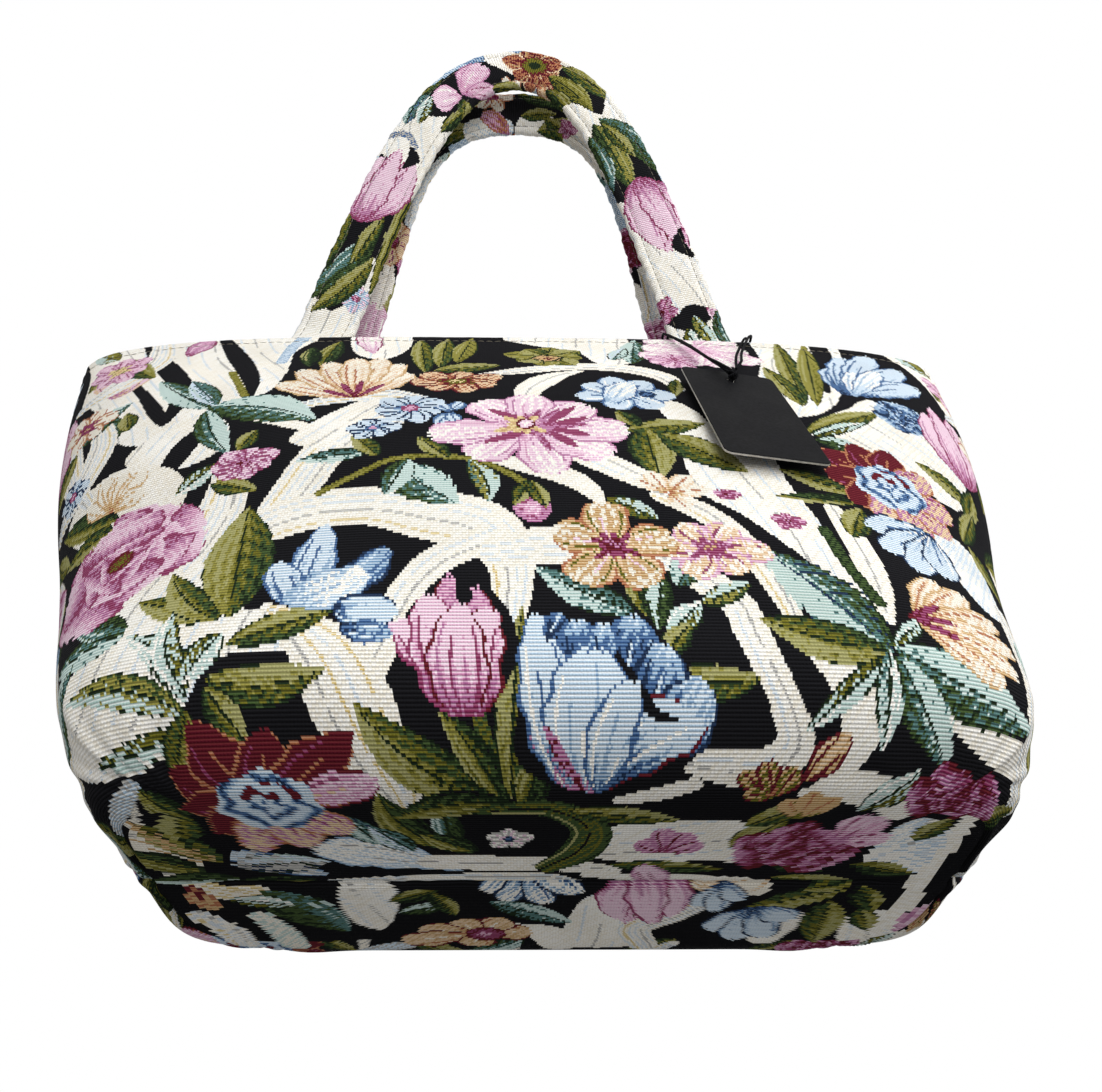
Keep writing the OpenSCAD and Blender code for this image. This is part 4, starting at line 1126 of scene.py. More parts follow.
def weave_base(cloth):
    """The back panel's part of the base, where the photograph shows other motifs than the front has there."""
    each(cloth, patch,
         ([(-118, -6), (-118, 30), (-80, 42), (-40, 38), (0, 42), (40, 38), (80, 42), (118, 30), (118, -6)],
          None, "black black"), ([(-58, 0), (-38, 0), (-42, 6), (-56, 8)], None, "cream peach"),
         ([(-22, 14), (-10, 8), (-4, 26), (-4, 46), (-24, 46), (-20, 30)], 10))
    each(cloth, band,
         ([(-42, 14, 6), (-34, 22, 10), (-24, 32, 11), (-28, 46, 9)], THREADS),
         ([(-62, 16, 4), (-70, 24, 7), (-64, 40, 10)],))
    patch(cloth, [(-100, 20), (-86, 22), (-88, 44), (-102, 38)], 0)
    band(cloth, [(-99, -2, 6), (-100, 14, 6), (-98, 30, 4)])
    patch(cloth, [(56, -2), (44, 2), (44, 16), (50, 32), (58, 26), (60, 10)], -10)
    each(cloth, band,
         ([(100, -2, 4), (90, 6, 9), (80, 4, 5)], (), "cream straw"),
         ([(101, 22, 8), (95, 34, 10), (94, 46, 10)], THREADS),
         ([(84, 22, 7), (80, 34, 9), (78, 46, 9)], (), "cream ice"),
         ([(12, 30, 5), (2, 36, 12), (-2, 46, 10)],))
    each(cloth, leaf,
         ((80, 4), (60, 34), 19, "teal green forest"), ((90, 10), (72, 14), 9, PALE_GREENS),
         ((46, 12), (32, 4), 8, DARK_GREENS), ((44, 20), (30, 14), 8, "ice green forest"),
         ((34, 6), (28, 22), 8, DARK_GREENS), ((18, 12), (-6, 28), 11, "ice teal forest"),
         ((-80, 4), (-54, 18), 12), ((-78, 12), (-80, 44), 14), ((-84, 2), (-92, 20), 10, DARK_GREENS),
         ((-82, 0), (-68, 4), 8, DARK_GREENS), ((-88, 18), (-94, 34), 9))
    fan(cloth, (8, -4), [(20, 5), (14, 12), (2, 14), (-8, 6)], 10, "white blue deep", 2, "deep sky", "navy")
    tulip(cloth, (-24, -6), (-27, 30), 23)
    each(cloth, fan,
         ((-46, 0), [(-40, 16), (-46, 20), (-52, 12)], 9, BLUES, 2, "deep sky", "navy"),
         ((-58, 16), [(-46, 34), (-54, 42), (-64, 40), (-70, 26)], 13, BLUES, 3, "deep sky", "navy"))
    for tip in ((6, 34), (14, 24), (28, 25), (40, 32), (46, 42), (24, 46)):
        petal(cloth, (22, 36), tip, 13, "peach tan rust", 0.64, 0.5, 0, 3, "rust cream", "wine")
    dot(cloth, (20, 36), 6, 0.9, "pink magenta wine")
    each(cloth, petal,
         ((99, 0), (96, 18), 9, "tan rust wine", 0.6, 0.55, 0, 3, "wine"),
         ((-104, 40), (-108, 14), 11, "blush pink rose", 0.6, 0.55, 0, 3, "rose"))


def weave_strap(cloth):
    """The design along a handle: u across the strap towards its inner edge, v along it from the left end."""
    patch(cloth, [(-17, -6), (-17, 40), (-12, 54), (0, 48), (8, 58), (17, 52), (17, -6)], 8)
    star(cloth, (8, 57), 8, 0, 6, "blush sky blue")
    each(cloth, leaf,
         ((-14, 52), (4, 96), 15, "teal green forest", 4), ((-9, 46), (8, 80), 11, GREENS, 3),
         ((-16, 62), (-10, 102), 12), ((13, 60), (12, 128), 8, "moss olive green"), ((0, 74), (5, 104), 9))
    patch(cloth, [(2, 122), (12, 118), (17, 130), (17, 176), (4, 168), (-6, 164), (-17, 160), (-17, 140),
          (-6, 136)], -20)
    band(cloth, [(-14, 148, 3), (-4, 152, 4), (4, 146, 2)], (), "grey deep")
    tulip(cloth, (-5, 97), (0, 143), 25)
    gap(cloth, [(3, 133, 2), (5, 139, 6), (2, 145, 2)])
    each(cloth, leaf,
         ((-8, 158), (-13, 186), 12, "ice teal deep"), ((-2, 160), (-6, 178), 8, PALE_GREENS),
         ((10, 160), (14, 186), 8, DARK_GREENS), ((-10, 176), (-13, 194), 8))
    each(cloth, petal,
         ((6, 186), (-4, 176), 18, "blush blush pink", 0.62, 0.5, 0, 3, "rose white", "pink"),
         ((5, 188), (-5, 208), 17, "blush pink pink", 0.66, 0.5, 0, 3, "rose white", "rose"),
         ((5, 187), (14, 206), 12, "blush pink rose", 0.66, 0.5, 0, 2, "magenta", "rose"))
    each(cloth, leaf,
         ((8, 186), (15, 176), 8), ((12, 204), (15, 228), 9))
    each(cloth, band,
         ([(-13, 186, 7), (-13, 204, 8)], (), "sky blue"),
         ([(-13, 204, 8), (-9, 216, 9), (-15, 226, 5)], (), "blue deep"))
    patch(cloth, [(-13, 212), (-4, 210), (7, 222), (4, 232), (-8, 224)])
    for tip in ring_of((0, 231), 16, 6, 20):
        petal(cloth, (0, 231), tip, 13, "rust wine wine", 0.6, 0.6, 0, 2, "tan wine", "peach")
    petal(cloth, (6, 236), (16, 250), 12, "peach rust wine", 0.6, 0.6, 0, 3, "wine tan", "wine")
    each(cloth, dot,
         ((-1, 231), 6, 1.1, "tan olive olive wine"), ((-1, 231), 2.4, 1.1, "forest forest"))
    each(cloth, leaf,
         ((-6, 242), (-12, 274), 13), ((3, 240), (2, 272), 12, "moss olive forest"),
         ((10, 244), (13, 270), 10, DARK_GREENS))
    patch(cloth, [(-17, 262), (-8, 268), (0, 276), (8, 262), (17, 266), (17, 294), (2, 296), (-8, 286),
          (-17, 282)], 25)
    each(cloth, leaf,
         ((2, 278), (-12, 318), 15, "teal green forest", -3), ((6, 280), (4, 326), 14, "moss green forest"),
         ((11, 286), (13, 322), 11, "teal green forest"), ((2, 282), (-4, 306), 8))
    patch(cloth, [(17, 330), (5, 338), (-4, 356), (-17, 366), (-17, 396), (0, 392), (8, 396), (17, 386)],
          -14)
    tulip(cloth, (0, 318), (-7, 366), 25)
    gap(cloth, [(-9, 352, 2), (-6, 360, 7), (-10, 366, 3)])
    star(cloth, (12, 392), 8, 0, 5, "pink rose magenta", "wine rose")
    patch(cloth, [(-17, 404), (-6, 402), (2, 408), (17, 402), (17, 470), (-17, 470)], 8)
    each(cloth, leaf,
         ((-12, 396), (-10, 424), 11, TEALS), ((0, 398), (-4, 420), 8, "ice moss green"),
         ((4, 404), (8, 430), 9, PALE_GREENS))


def weave_rear_strap(cloth):
    """The same kinds of motifs in another order, for the rear handle."""
    patch(cloth, [(-17, -6), (-17, 96), (-4, 92), (4, 104), (12, 78), (17, 60), (17, -6)], 8)
    each(cloth, petal,
         ((4, 52), (-10, 82), 16, "blush blush pink", 0.62, 0.5, 0, 3, "rose white", "pink"),
         ((6, 52), (8, 84), 18, "blush pink pink", 0.62, 0.5, 0, 3, "magenta white", "rose"))
    band(cloth, [(9, 82, 3), (10, 96, 6), (7, 108, 4)])
    for tip in ring_of((6, 118), 14, 6, 0):
        petal(cloth, (6, 118), tip, 12, "peach peach rose", 0.62, 0.55, 0, 2, "magenta cream", "rust")
    dot(cloth, (6, 118), 4, 1.0, "magenta wine")
    leaf(cloth, (6, 128), (0, 164), 13)
    band(cloth, [(13, 132, 8), (11, 152, 10), (14, 172, 7)], THREADS, "white sky")
    each(cloth, leaf,
         ((0, 176), (9, 206), 14), ((-2, 176), (-11, 206), 13))
    patch(cloth, [(4, 202), (17, 200), (17, 224), (6, 226)], 0, "white sky")
    petal(cloth, (14, 226), (0, 212), 12, "pink rust rose")
    patch(cloth, [(2, 234), (17, 230), (17, 256), (4, 252)], 10)
    each(cloth, leaf,
         ((4, 232), (0, 250), 9), ((12, 242), (2, 270), 14), ((4, 244), (14, 268), 10))
    patch(cloth, [(-8, 262), (2, 256), (17, 264), (17, 292), (4, 288), (-6, 290)], 20, "cream white")
    star(cloth, (6, 259), 7, 0, 5, "pink rose magenta")
    band(cloth, [(11, 288, 5), (8, 304, 6), (12, 318, 4)])
    star(cloth, (2, 318), 13, 0, 6, "blush sky blue")
    band(cloth, [(13, 306, 6), (12, 328, 8)], (), "sky blue")
    leaf(cloth, (3, 322), (6, 350), 11)
    rose(cloth, (9, 344), 12, 0, "rose magenta wine wine")
    each(cloth, band,
         ([(8, 356, 3), (6, 374, 10), (10, 386, 6)], THREADS), ([(-8, 330, 8), (-10, 360, 10)],))
    rose(cloth, (8, 396), 13)
    patch(cloth, [(-17, 404), (0, 400), (17, 410), (17, 480), (-17, 480)], 8)
    band(cloth, [(-8, 100, 4), (-11, 118, 10), (-8, 138, 6)], THREADS)
    leaf(cloth, (-6, 138), (-13, 168), 11, TEALS)
    blossom(cloth, (-10, 218), 12, 10, 6)
    leaf(cloth, (-10, 230), (-6, 258), 11, DARK_GREENS)
    band(cloth, [(-13, 236, 5), (-14, 256, 7)], (), "sky blue")
    leaf(cloth, (-6, 292), (-12, 318), 11)
    petal(cloth, (-4, 374), (-12, 398), 13, "blush pink rose", 0.62, 0.5, 0, 3, "magenta white", "rose")


# Panels

TOP_ROLL_STEPS = 6
HEM_ROW = 1.6
TOPSTITCH_DROP = 5.5
SEAM_DEPTH = 1.3
SEAM_HALF = 2.4
LUMP_H = 0.7
PUCKER_H = 0.35
STITCH_SINK = 0.45
GROOVE_H = 1.1
GROOVE_HALF = 1.7
FOLD_H = 1.3


def ripple(x, seed):
    """A gentle uneven wave between -1 and 1."""
    return (np.sin(x + seed) + 0.6 * np.sin(2.3 * x + 2.1 * seed) + 0.4 * np.sin(4.1 * x - 1.3 * seed)) / 2


def dress(sheet):
    """Moves a panel's points as sewn, filled cloth lies: lumps, seams, puckers and corner folds."""
    p = sheet.points
    normal = grid_normals(p)
    u, v = sheet.u, sheet.v
    rim = np.abs(u).max(1, keepdims=True)
    to_side = np.clip(rim - np.abs(u), 0, None)
    top = sheet.row_v[-1]
    wall = (np.arange(len(p)) >= sheet.base_count)[:, None]
    lumps = LUMP_H * ripple(u / 33 + 0.6 * np.sin(v / 41), 1.7 * sheet.side) * ripple(v / 37, 0.4)
    move = np.where(wall, lumps * smooth(0, 30, v - sheet.base_half) * smooth(0, 25, top - v), 0)
    seam = -SEAM_DEPTH * np.exp(-(to_side / SEAM_HALF) ** 2) + 0.5 * np.exp(-((to_side - 6) / 3.5) ** 2)
    pucker = PUCKER_H * np.exp(-((to_side - 5) / 5) ** 2) * ripple(v / 3.1, 0.8)
    move = move + np.where(wall, seam + pucker, 0)
    stitch = -STITCH_SINK * np.exp(-((top - v - TOPSTITCH_DROP) / 1.1) ** 2)
    between = 0.18 * ripple(u / 2.6, 2.0) * np.exp(-((top - v - TOPSTITCH_DROP) / 5) ** 2)
    move = move + np.where(wall, stitch + between, 0)
    # The base's middle seam, and the seams that box its ends
    x = p[..., 0]
    groove = GROOVE_H * np.exp(-(np.abs(p[..., 1]) / GROOVE_HALF) ** 2) * (1 + 0.3 * ripple(x / 4.5, 1.1))
    low = np.where(wall, 0, groove * smooth(BASE_LEN / 2 - 12, BASE_LEN / 2 - 30, np.abs(x)))
    end = smooth(0.45, 0.8, np.abs(x) / (BASE_LEN / 2)) * smooth(0.98, 0.6, np.abs(p[..., 1]) / half_d(0.0))
    box = np.exp(-((v - sheet.base_half) / 2.6) ** 2)
    move = move - np.where(wall, SEAM_DEPTH * box * end, 0)
    folds = FOLD_H * ripple(np.arctan2(v - sheet.base_half - 4, rim - np.abs(u) - 60) * 5, 0.6 * sheet.side)
    near = np.exp(-((np.hypot(to_side - 55, (v - sheet.base_half) * 0.9) - 22) / 18) ** 2)
    move = move + np.where(wall, folds * near * smooth(2, 14, v - sheet.base_half), 0)
    sheet.points = p + normal * move[..., None]
    sheet.points[..., 2] += low
    sheet.points[..., 2] = np.maximum(sheet.points[..., 2], 0.0)


def add_hem(sheet, columns):
    """Rows over the folded top edge and down the turned-in hem, with the cloth running on."""
    r = HEM_INSET / 2
    top = sheet.points[-1]
    v = sheet.row_v[-1]
    rows, extra = [], []
    inner, _ = outline(BODY_H, HEM_INSET, columns, sheet.side)
    flat_in = inner - outline(BODY_H, 0.0, columns, sheet.side)[0]
    flat_in /= HEM_INSET
    for a in np.linspace(0, 180, TOP_ROLL_STEPS + 1)[1:]:
        row = top + flat_in * (r * (1 - cosd(a)))
        row[:, 2] = top[:, 2] - r + r * sind(a)
        rows.append(row)
        v += math.pi * r / TOP_ROLL_STEPS
        extra.append(v)
    for z in np.arange(BODY_H - r - HEM_ROW, BODY_H - HEM_H, -HEM_ROW):
        row, _ = outline(z, HEM_INSET, columns, sheet.side)
        rows.append(row)
        v += HEM_ROW
        extra.append(v)
    lip, _ = outline(z, LINING_INSET + 0.2, columns, sheet.side)
    rows.append(lip)
    extra.append(v + 1.0)
    sheet.points = np.concatenate([sheet.points, np.array(rows)])
    sheet.u = np.concatenate([sheet.u, np.repeat(sheet.u[-1:], len(rows), 0)])
    sheet.v = np.concatenate([sheet.v, np.repeat(np.array(extra)[:, None], columns + 1, 1)])


def make_panel(name, node, side, columns, shift, weave_more=None):
    """A panel in pieces of one grid: its half of the base, two halves of its wall, and the hem."""
    sheet = Sheet(side, columns, WEFT, 0.0, BODY_H - HEM_INSET / 2)
    wall_end = len(sheet.points) - 1
    dress(sheet)
    add_hem(sheet, columns)
    uv = sheet.cell_uv()
    middle = uv.mean(1)
    cloth = Cloth(middle[:, 0] + shift, middle[:, 1])
    weave_panel(cloth)
    if weave_more:
        cloth.u = middle[:, 0]
        weave_more(cloth)
    colours = cloth.colours()
    normals = grid_normals(sheet.points)
    cell = np.arange(len(middle)).reshape(-1, columns)
    base, half, last = sheet.base_count, columns // 2, len(sheet.points) - 1
    spans = (("base", 0, base, 0, columns), ("wall_left", base, wall_end, 0, half),
             ("wall_right", base, wall_end, half, columns), ("hem", wall_end, last, 0, columns))
    for part, low, high, left, right in spans:
        points = sheet.points[low:high + 1, left:right + 1]
        cells = cell[low:high, left:right].ravel()
        piece = mesh_object(name + "_" + part, points.reshape(-1, 3), grid_faces(*points.shape[:2]), JACQUARD,
                            uv[cells], {key: values[cells] for key, values in colours.items()})
        facing = normals[low:high + 1, left:right + 1]
        piece.data.normals_split_custom_set_from_vertices(facing.reshape(-1, 3).tolist())
        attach(piece, "bag")
        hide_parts(node)
    return sheet


def make_lining(name, node, side):
    """Plain cloth inside a panel, a little slack."""
    sheet = Sheet(side, LINING_COLUMNS, LINING_ROW, LINING_INSET + LINING_T, LINING_TOP)
    p = sheet.points
    slack = 0.6 + 0.4 * ripple(sheet.u / 17, 0.3 + side) * ripple(sheet.v / 23, 1.2)
    fade = smooth(0, 12, sheet.v.max() - sheet.v) * smooth(0, 12, sheet.v) * smooth(0, 6, np.abs(p[..., 1]))
    sheet.points = p - grid_normals(p) * (slack * fade)[..., None]
    faces = grid_faces(*sheet.points.shape[:2])[:, ::-1]
    piece = mesh_object(name, sheet.points.reshape(-1, 3), faces, LINING, sheet.cell_uv()[:, ::-1])
    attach(piece, "bag")
    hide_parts(node)


front_sheet = make_panel("front_panel", "front_panel", 1, FRONT_COLUMNS, 0.0)
back_sheet = make_panel("back_panel", "back_panel", -1, BACK_COLUMNS, BACK_SHIFT, weave_base)
make_lining("front_lining_cloth", "front_lining", 1)
make_lining("back_lining_cloth", "back_lining", -1)


# Handles

STRAP_ROW = 0.8
STRAP_SIDES = 72
STRAP_SQUARE = 3.2
EDGE_STITCH = 3.6


def arch(crown):
    """Middle line of a handle in its own plane: distance from the middle, and length above the mouth."""
    t = np.linspace(0, 1, 300)[:, None]
    lean = math.tan(math.radians(LEG_LEAN))
    a, b = np.array([HANDLE_SPAN / 2, 0]), np.array([HANDLE_SPAN / 2 - LEG_REACH * lean, LEG_REACH])
    c, d = np.array([crown, HANDLE_RISE]), np.array([0, HANDLE_RISE])
    curve = (1 - t) ** 3 * a + 3 * t * (1 - t) ** 2 * b + 3 * t * t * (1 - t) * c + t ** 3 * d
    leg = np.array([[HANDLE_SPAN / 2 + TAB_LEN * lean, -TAB_LEN]])
    half = np.concatenate([leg, curve])
    line = np.concatenate([half * [-1, 1], half[::-1][1:]])
    d = lengths(line)
    return resample(line, np.linspace(0, d[-1], int(round(d[-1] / STRAP_ROW)) + 1))


def bend_line(s, a0, a1):
    """Side view of a strap that leaves the hem at lean a0 and ends at a1: place along Y and Z, and lean."""
    fine = np.linspace(-TAB_LEN, HANDLE_RISE, 4000)
    lean = mix(a0, a1, np.clip(fine / BEND_LEN, 0, 1))
    step = fine[1] - fine[0]
    y = np.cumsum(sind(lean)) * step
    z = np.cumsum(cosd(lean)) * step
    zero = np.searchsorted(fine, 0)
    return np.interp(s, fine, y - y[zero]), np.interp(s, fine, z - z[zero]), np.interp(s, fine, lean)


def hem_seat():
    """Lean of the hem at a handle's legs, and where the strap's flat end lies along Y at the mouth."""
    leg_edge_x = mid_x(BODY_H) + (HANDLE_SPAN + STRAP_W) / 2 + TAB_LEN * math.tan(math.radians(LEG_LEAN))
    high = front_y(leg_edge_x, BODY_H, HEM_INSET)
    low = front_y(leg_edge_x, BODY_H - TAB_LEN, HEM_INSET)
    slope = math.degrees(math.atan((high - low) / TAB_LEN))
    return slope, high + (STRAP_GAP + TAB_T / 2) / cosd(slope)


def strap_ring():
    """The strap's section, as shares of its half-width and half-thickness, spaced evenly round it."""
    turn = np.linspace(0, 360, OUTLINE_STEPS)
    fine = np.stack([cosd(turn), sind(turn)], -1)
    fine = np.sign(fine) * np.abs(fine) ** (2 / STRAP_SQUARE)
    d = lengths(fine * [STRAP_W / 2, STRAP_T / 2])
    at = (np.arange(STRAP_SIDES) + 0.5) / STRAP_SIDES * d[-1]
    return np.stack([np.interp(at, d, fine[:, k]) for k in range(2)], -1)


def make_handle(name, node, y0, a0, a1, crown, weave, weave_far, seed):
    """A strap bent to an arch. Its far face is woven before the face that the front view sees."""
    line = arch(crown)
    s = lengths(line)
    y, z, lean = bend_line(line[:, 1], a0, a1)
    mid = np.stack([mid_x(BODY_H) + line[:, 0], y0 + y, BODY_H + z], -1)
    along = np.gradient(line, axis=0)
    along /= np.linalg.norm(along, axis=1, keepdims=True)
    across = np.stack([along[:, 1], -along[:, 0] * sind(lean), -along[:, 0] * cosd(lean)], -1)
    out = np.stack([np.zeros_like(lean), -cosd(lean), sind(lean)], -1)
    ring = strap_ring()
    wide, deep = ring[None, :, 0], ring[None, :, 1]
    t = smooth(0, BEND_LEN, line[:, 1])[:, None]
    thick = mix(TAB_T, STRAP_T, t)
    # Puckered edges, a soft crown between two rows of edge stitching, and slack twists along the strap
    x = wide * STRAP_W / 2
    pucker = 0.55 * t * ripple(s[:, None] / 2.3 + 2.0 * np.sign(wide), seed) * np.abs(wide) ** 6
    groove = 0.75 * np.exp(-((np.abs(x) - (STRAP_W / 2 - EDGE_STITCH)) / 0.9) ** 2) * t
    swell = 0.35 * t * ripple(s[:, None] / 9 + x / 9, seed + 1)
    depth = thick / 2 * deep - np.sign(deep) * groove * (np.abs(deep) > 0.4) + swell * np.abs(deep)
    spread = (x + np.sign(wide) * pucker)[..., None]
    points = mid[:, None] + across[:, None] * spread + out[:, None] * depth[..., None]
    rows, cols = points.shape[:2]
    around = lengths(np.concatenate([ring, ring[:1]]) * [STRAP_W / 2, STRAP_T / 2])
    u = np.broadcast_to((around[-1] / 4 - around)[None], (rows, cols + 1))
    uv = corners(np.stack([u, np.broadcast_to(s[:, None], u.shape)], -1))
    middle = uv.mean(1)
    cloth = Cloth(middle[:, 0] + around[-1] / 2, middle[:, 1], around[-1])
    weave_far(cloth)
    cloth.u = middle[:, 0]
    weave(cloth)
    faces = grid_faces(rows, cols, closed=True)
    colours = {k: np.concatenate([c, c[:2]]) for k, c in cloth.colours().items()}
    uv = np.concatenate([uv.reshape(-1, 2), np.zeros((2 * cols, 2))])
    faces = faces.tolist() + end_caps(rows, cols)
    piece = mesh_object(name, points.reshape(-1, 3), faces, JACQUARD, uv, colours)
    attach(piece, "bag")
    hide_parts(node)
    return piece, points, out, s


slope, seat_y = hem_seat()
front_handle = make_handle("front_handle_strap", "front_handle", seat_y, slope, -FRONT_LEAN, FRONT_CROWN,
                           weave_strap, weave_rear_strap, 0.7)
rear_handle = make_handle("rear_handle_strap", "rear_handle", -seat_y, -slope, -REAR_LEAN, REAR_CROWN,
                          weave_rear_strap, weave_strap, 2.9)


# Hang tag and knot

def tag_frame():
    """The tag's hole, its face's outward direction, and its directions to the right and up."""
    n = np.array([sind(TAG_TURN) * cosd(TAG_TILT), -cosd(TAG_TURN) * cosd(TAG_TILT), sind(TAG_TILT)])
    right = np.array([cosd(TAG_TURN), sind(TAG_TURN), 0.0])
    up = np.cross(n, right)
    hole = np.array([TAG_X, front_y(TAG_X, TAG_Z), TAG_Z]) + n * TAG_STAND
    return hole, n, right * cosd(TAG_ROLL) + up * sind(TAG_ROLL), up * cosd(TAG_ROLL) - right * sind(TAG_ROLL)


def rounded_outline(w, h, r, steps=8):
    points = []
    x = w / 2 - r
    for cx, cy, start in ((x, h - r, 0), (-x, h - r, 90), (-x, r, 180), (x, r, 270)):
        for a in np.linspace(start, start + 90, steps + 1):
            points.append((cx + r * cosd(a), cy + r * sind(a)))
    return np.array(points)


def make_tag():
    """A card whose cut edge shows its pale core, with slightly pressed rims at the edge and the hole."""
    hole, n, right, up = tag_frame()
    outer = rounded_outline(TAG_W, TAG_H, TAG_CORNER_R) + [0, HOLE_DROP - TAG_H]
    count = len(outer)
    angle = np.arctan2(outer[:, 1], outer[:, 0])
    inner = HOLE_R * np.stack([np.cos(angle), np.sin(angle)], -1)
    shares = (0.0, 0.03, 0.12, 0.3, 0.55, 0.8, 0.94, 0.985, 1.0)
    rings = [(mix(inner, outer, f), TAG_RIM if f in (0, 1) else 0.0) for f in shares]
    loop = [(flat, TAG_T - press) for flat, press in rings] + rings[::-1]
    points = np.array([hole + flat[:, :1] * right + flat[:, 1:] * up + depth * n for flat, depth in loop])
    rows = len(loop)
    faces, kinds = [], []
    for i in range(rows):
        j = (i + 1) % rows
        wall = i == len(shares) - 1 or i == rows - 1
        for k in range(count):
            m = (k + 1) % count
            faces.append([i * count + k, j * count + k, j * count + m, i * count + m])
            kinds.append(1 if wall else 0)
    piece = mesh_object("hang_tag_card", points.reshape(-1, 3), faces, [CARD, CARD_EDGE], flat=True)
    piece.data.polygons.foreach_set("material_index", kinds)
    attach(piece, "tag")
    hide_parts("hang_tag")


def make_knot():
    """The cord's turns at the tag's hole: a knot in front of the card and a flat turn behind it."""
    hole, n, right, up = tag_frame()
    ball = hole + n * (TAG_T + 0.3 + KNOT_R - 0.4)
    t = np.linspace(0, 2 * np.pi, 120, endpoint=False)
    a = (2 + np.cos(3 * t)) / 3
    flat = (a * np.cos(2 * t))[:, None] * right + (a * np.sin(2 * t))[:, None] * up
    knot = ball + KNOT_R * (0.62 * flat + 0.42 * np.sin(3 * t)[:, None] * n)
    path = np.concatenate([knot, knot[:2]])
    through = np.array([hole + n * d for d in (-0.75, -0.2, 1.0, 2.0)])
    turns = np.linspace(0, 2 * np.pi, 60)
    back = hole - n * 0.62 + 1.75 * (np.cos(turns)[:, None] * right + np.sin(turns)[:, None] * up)
    parts = [tube_points(path, CORD_D / 2 * 1.05, KNOT_SIDES, CORD_PLY, CORD_TWIST)[0],
             tube_points(through, 0.9, KNOT_SIDES)[0], tube_points(back, 0.38, 8)[0]]
    points, faces, uv = [], [], []
    start = 0
    for rings in parts:
        rows, cols = rings.shape[:2]
        faces += (grid_faces(rows, cols, closed=True) + start).tolist()
        faces += end_caps(rows, cols, start)
        grid = np.stack(np.meshgrid(np.arange(cols + 1) / cols, np.arange(rows) * 0.4), -1)
        uv += [corners(grid).reshape(-1, 2), np.zeros((2 * cols, 2))]
        points.append(rings.reshape(-1, 3))
        start += rows * cols
    piece = mesh_object("cord_knot", np.concatenate(points), faces, CORD, np.concatenate(uv))
    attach(piece, "bag")
    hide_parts("tag_knot")
    return piece


make_tag()
knot = make_knot()


# Stitching

STITCH_PITCH = 3.4
STITCH_LEN = 2.5
STITCH_W = 0.3
STITCH_LIFT = 0.05
STITCH_SIDES = 6


def make_stitches(name, lines):
    """Rows of thread stitches. Each line is a path in mm with an outward direction at each point."""
    ball = []
    for a in (0.0, 0.28, 0.5, 0.72, 1.0):
        r = math.sin(math.pi * min(max(a, 0.06), 0.94)) ** 0.5
        ball.append((a - 0.5, r))
    points, faces = [], []
    turn = np.arange(STITCH_SIDES) * 2 * np.pi / STITCH_SIDES
    for path, out in lines:
        d = lengths(path)
        for c in np.arange(STITCH_PITCH, d[-1] - STITCH_PITCH, STITCH_PITCH):
            a, b = resample(path, [c - STITCH_LEN / 2, c + STITCH_LEN / 2])
            up = np.array([np.interp(c, d, out[:, k]) for k in range(3)])
            along = (b - a) / np.linalg.norm(b - a)
            up = up - along * (up @ along)
            up /= np.linalg.norm(up)
            side = np.cross(along, up)
            round_it = np.cos(turn)[:, None] * side + 0.8 * np.sin(turn)[:, None] * up
            start = len(points) * STITCH_SIDES
            for f, r in ball:
                rise = STITCH_W * 0.25 * (1 - 2 * abs(f))
                points.append((a + b) / 2 + along * f * STITCH_LEN + up * rise + r * STITCH_W / 2 * round_it)
            faces += (grid_faces(len(ball), STITCH_SIDES, closed=True) + start).tolist()
            faces += end_caps(len(ball), STITCH_SIDES, start)
    uv = np.zeros((sum(len(f) for f in faces), 2))
    piece = mesh_object(name, np.concatenate(points), faces, STITCH, uv)
    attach(piece, "bag")


def panel_stitch_line(sheet):
    """The topstitch row along a panel's mouth."""
    top = sheet.row_v[-1]
    row = int(np.argmin(np.abs(sheet.row_v - (top - TOPSTITCH_DROP))))
    normal = grid_normals(sheet.points[row - 2:row + 3])[2]
    return sheet.points[row] + normal * STITCH_LIFT, normal


def strap_stitch_lines(handle):
    """Edge stitching on both faces of a handle, above the mouth."""
    _, points, out, s = handle
    lines = []
    keep = slice(int(TAB_LEN / STRAP_ROW) + 2, len(s) - int(TAB_LEN / STRAP_ROW) - 2)
    ring = strap_ring()
    x = ring[:, 0] * STRAP_W / 2
    for face in (1, -1):
        for edge in (1, -1):
            right = np.where((np.sign(ring[:, 1]) == face) & (np.sign(x) == edge))[0]
            k = right[np.argmin(np.abs(np.abs(x[right]) - (STRAP_W / 2 - EDGE_STITCH)))]
            lines.append((points[keep, k] + face * out[keep] * STITCH_LIFT, face * out[keep]))
    return lines


make_stitches("mouth_topstitch", [panel_stitch_line(front_sheet), panel_stitch_line(back_sheet)])
make_stitches("handle_edge_stitch", strap_stitch_lines(front_handle) + strap_stitch_lines(rear_handle))


# Stage: floor, world and lamps

FLOOR_SIZE = 6000.0
FLOOR_Z = -0.2
FADE_FROM = 0.35
FADE_TO = 1.1
LIGHT_ABOVE = 0.55
LIGHT_BELOW = 0.3


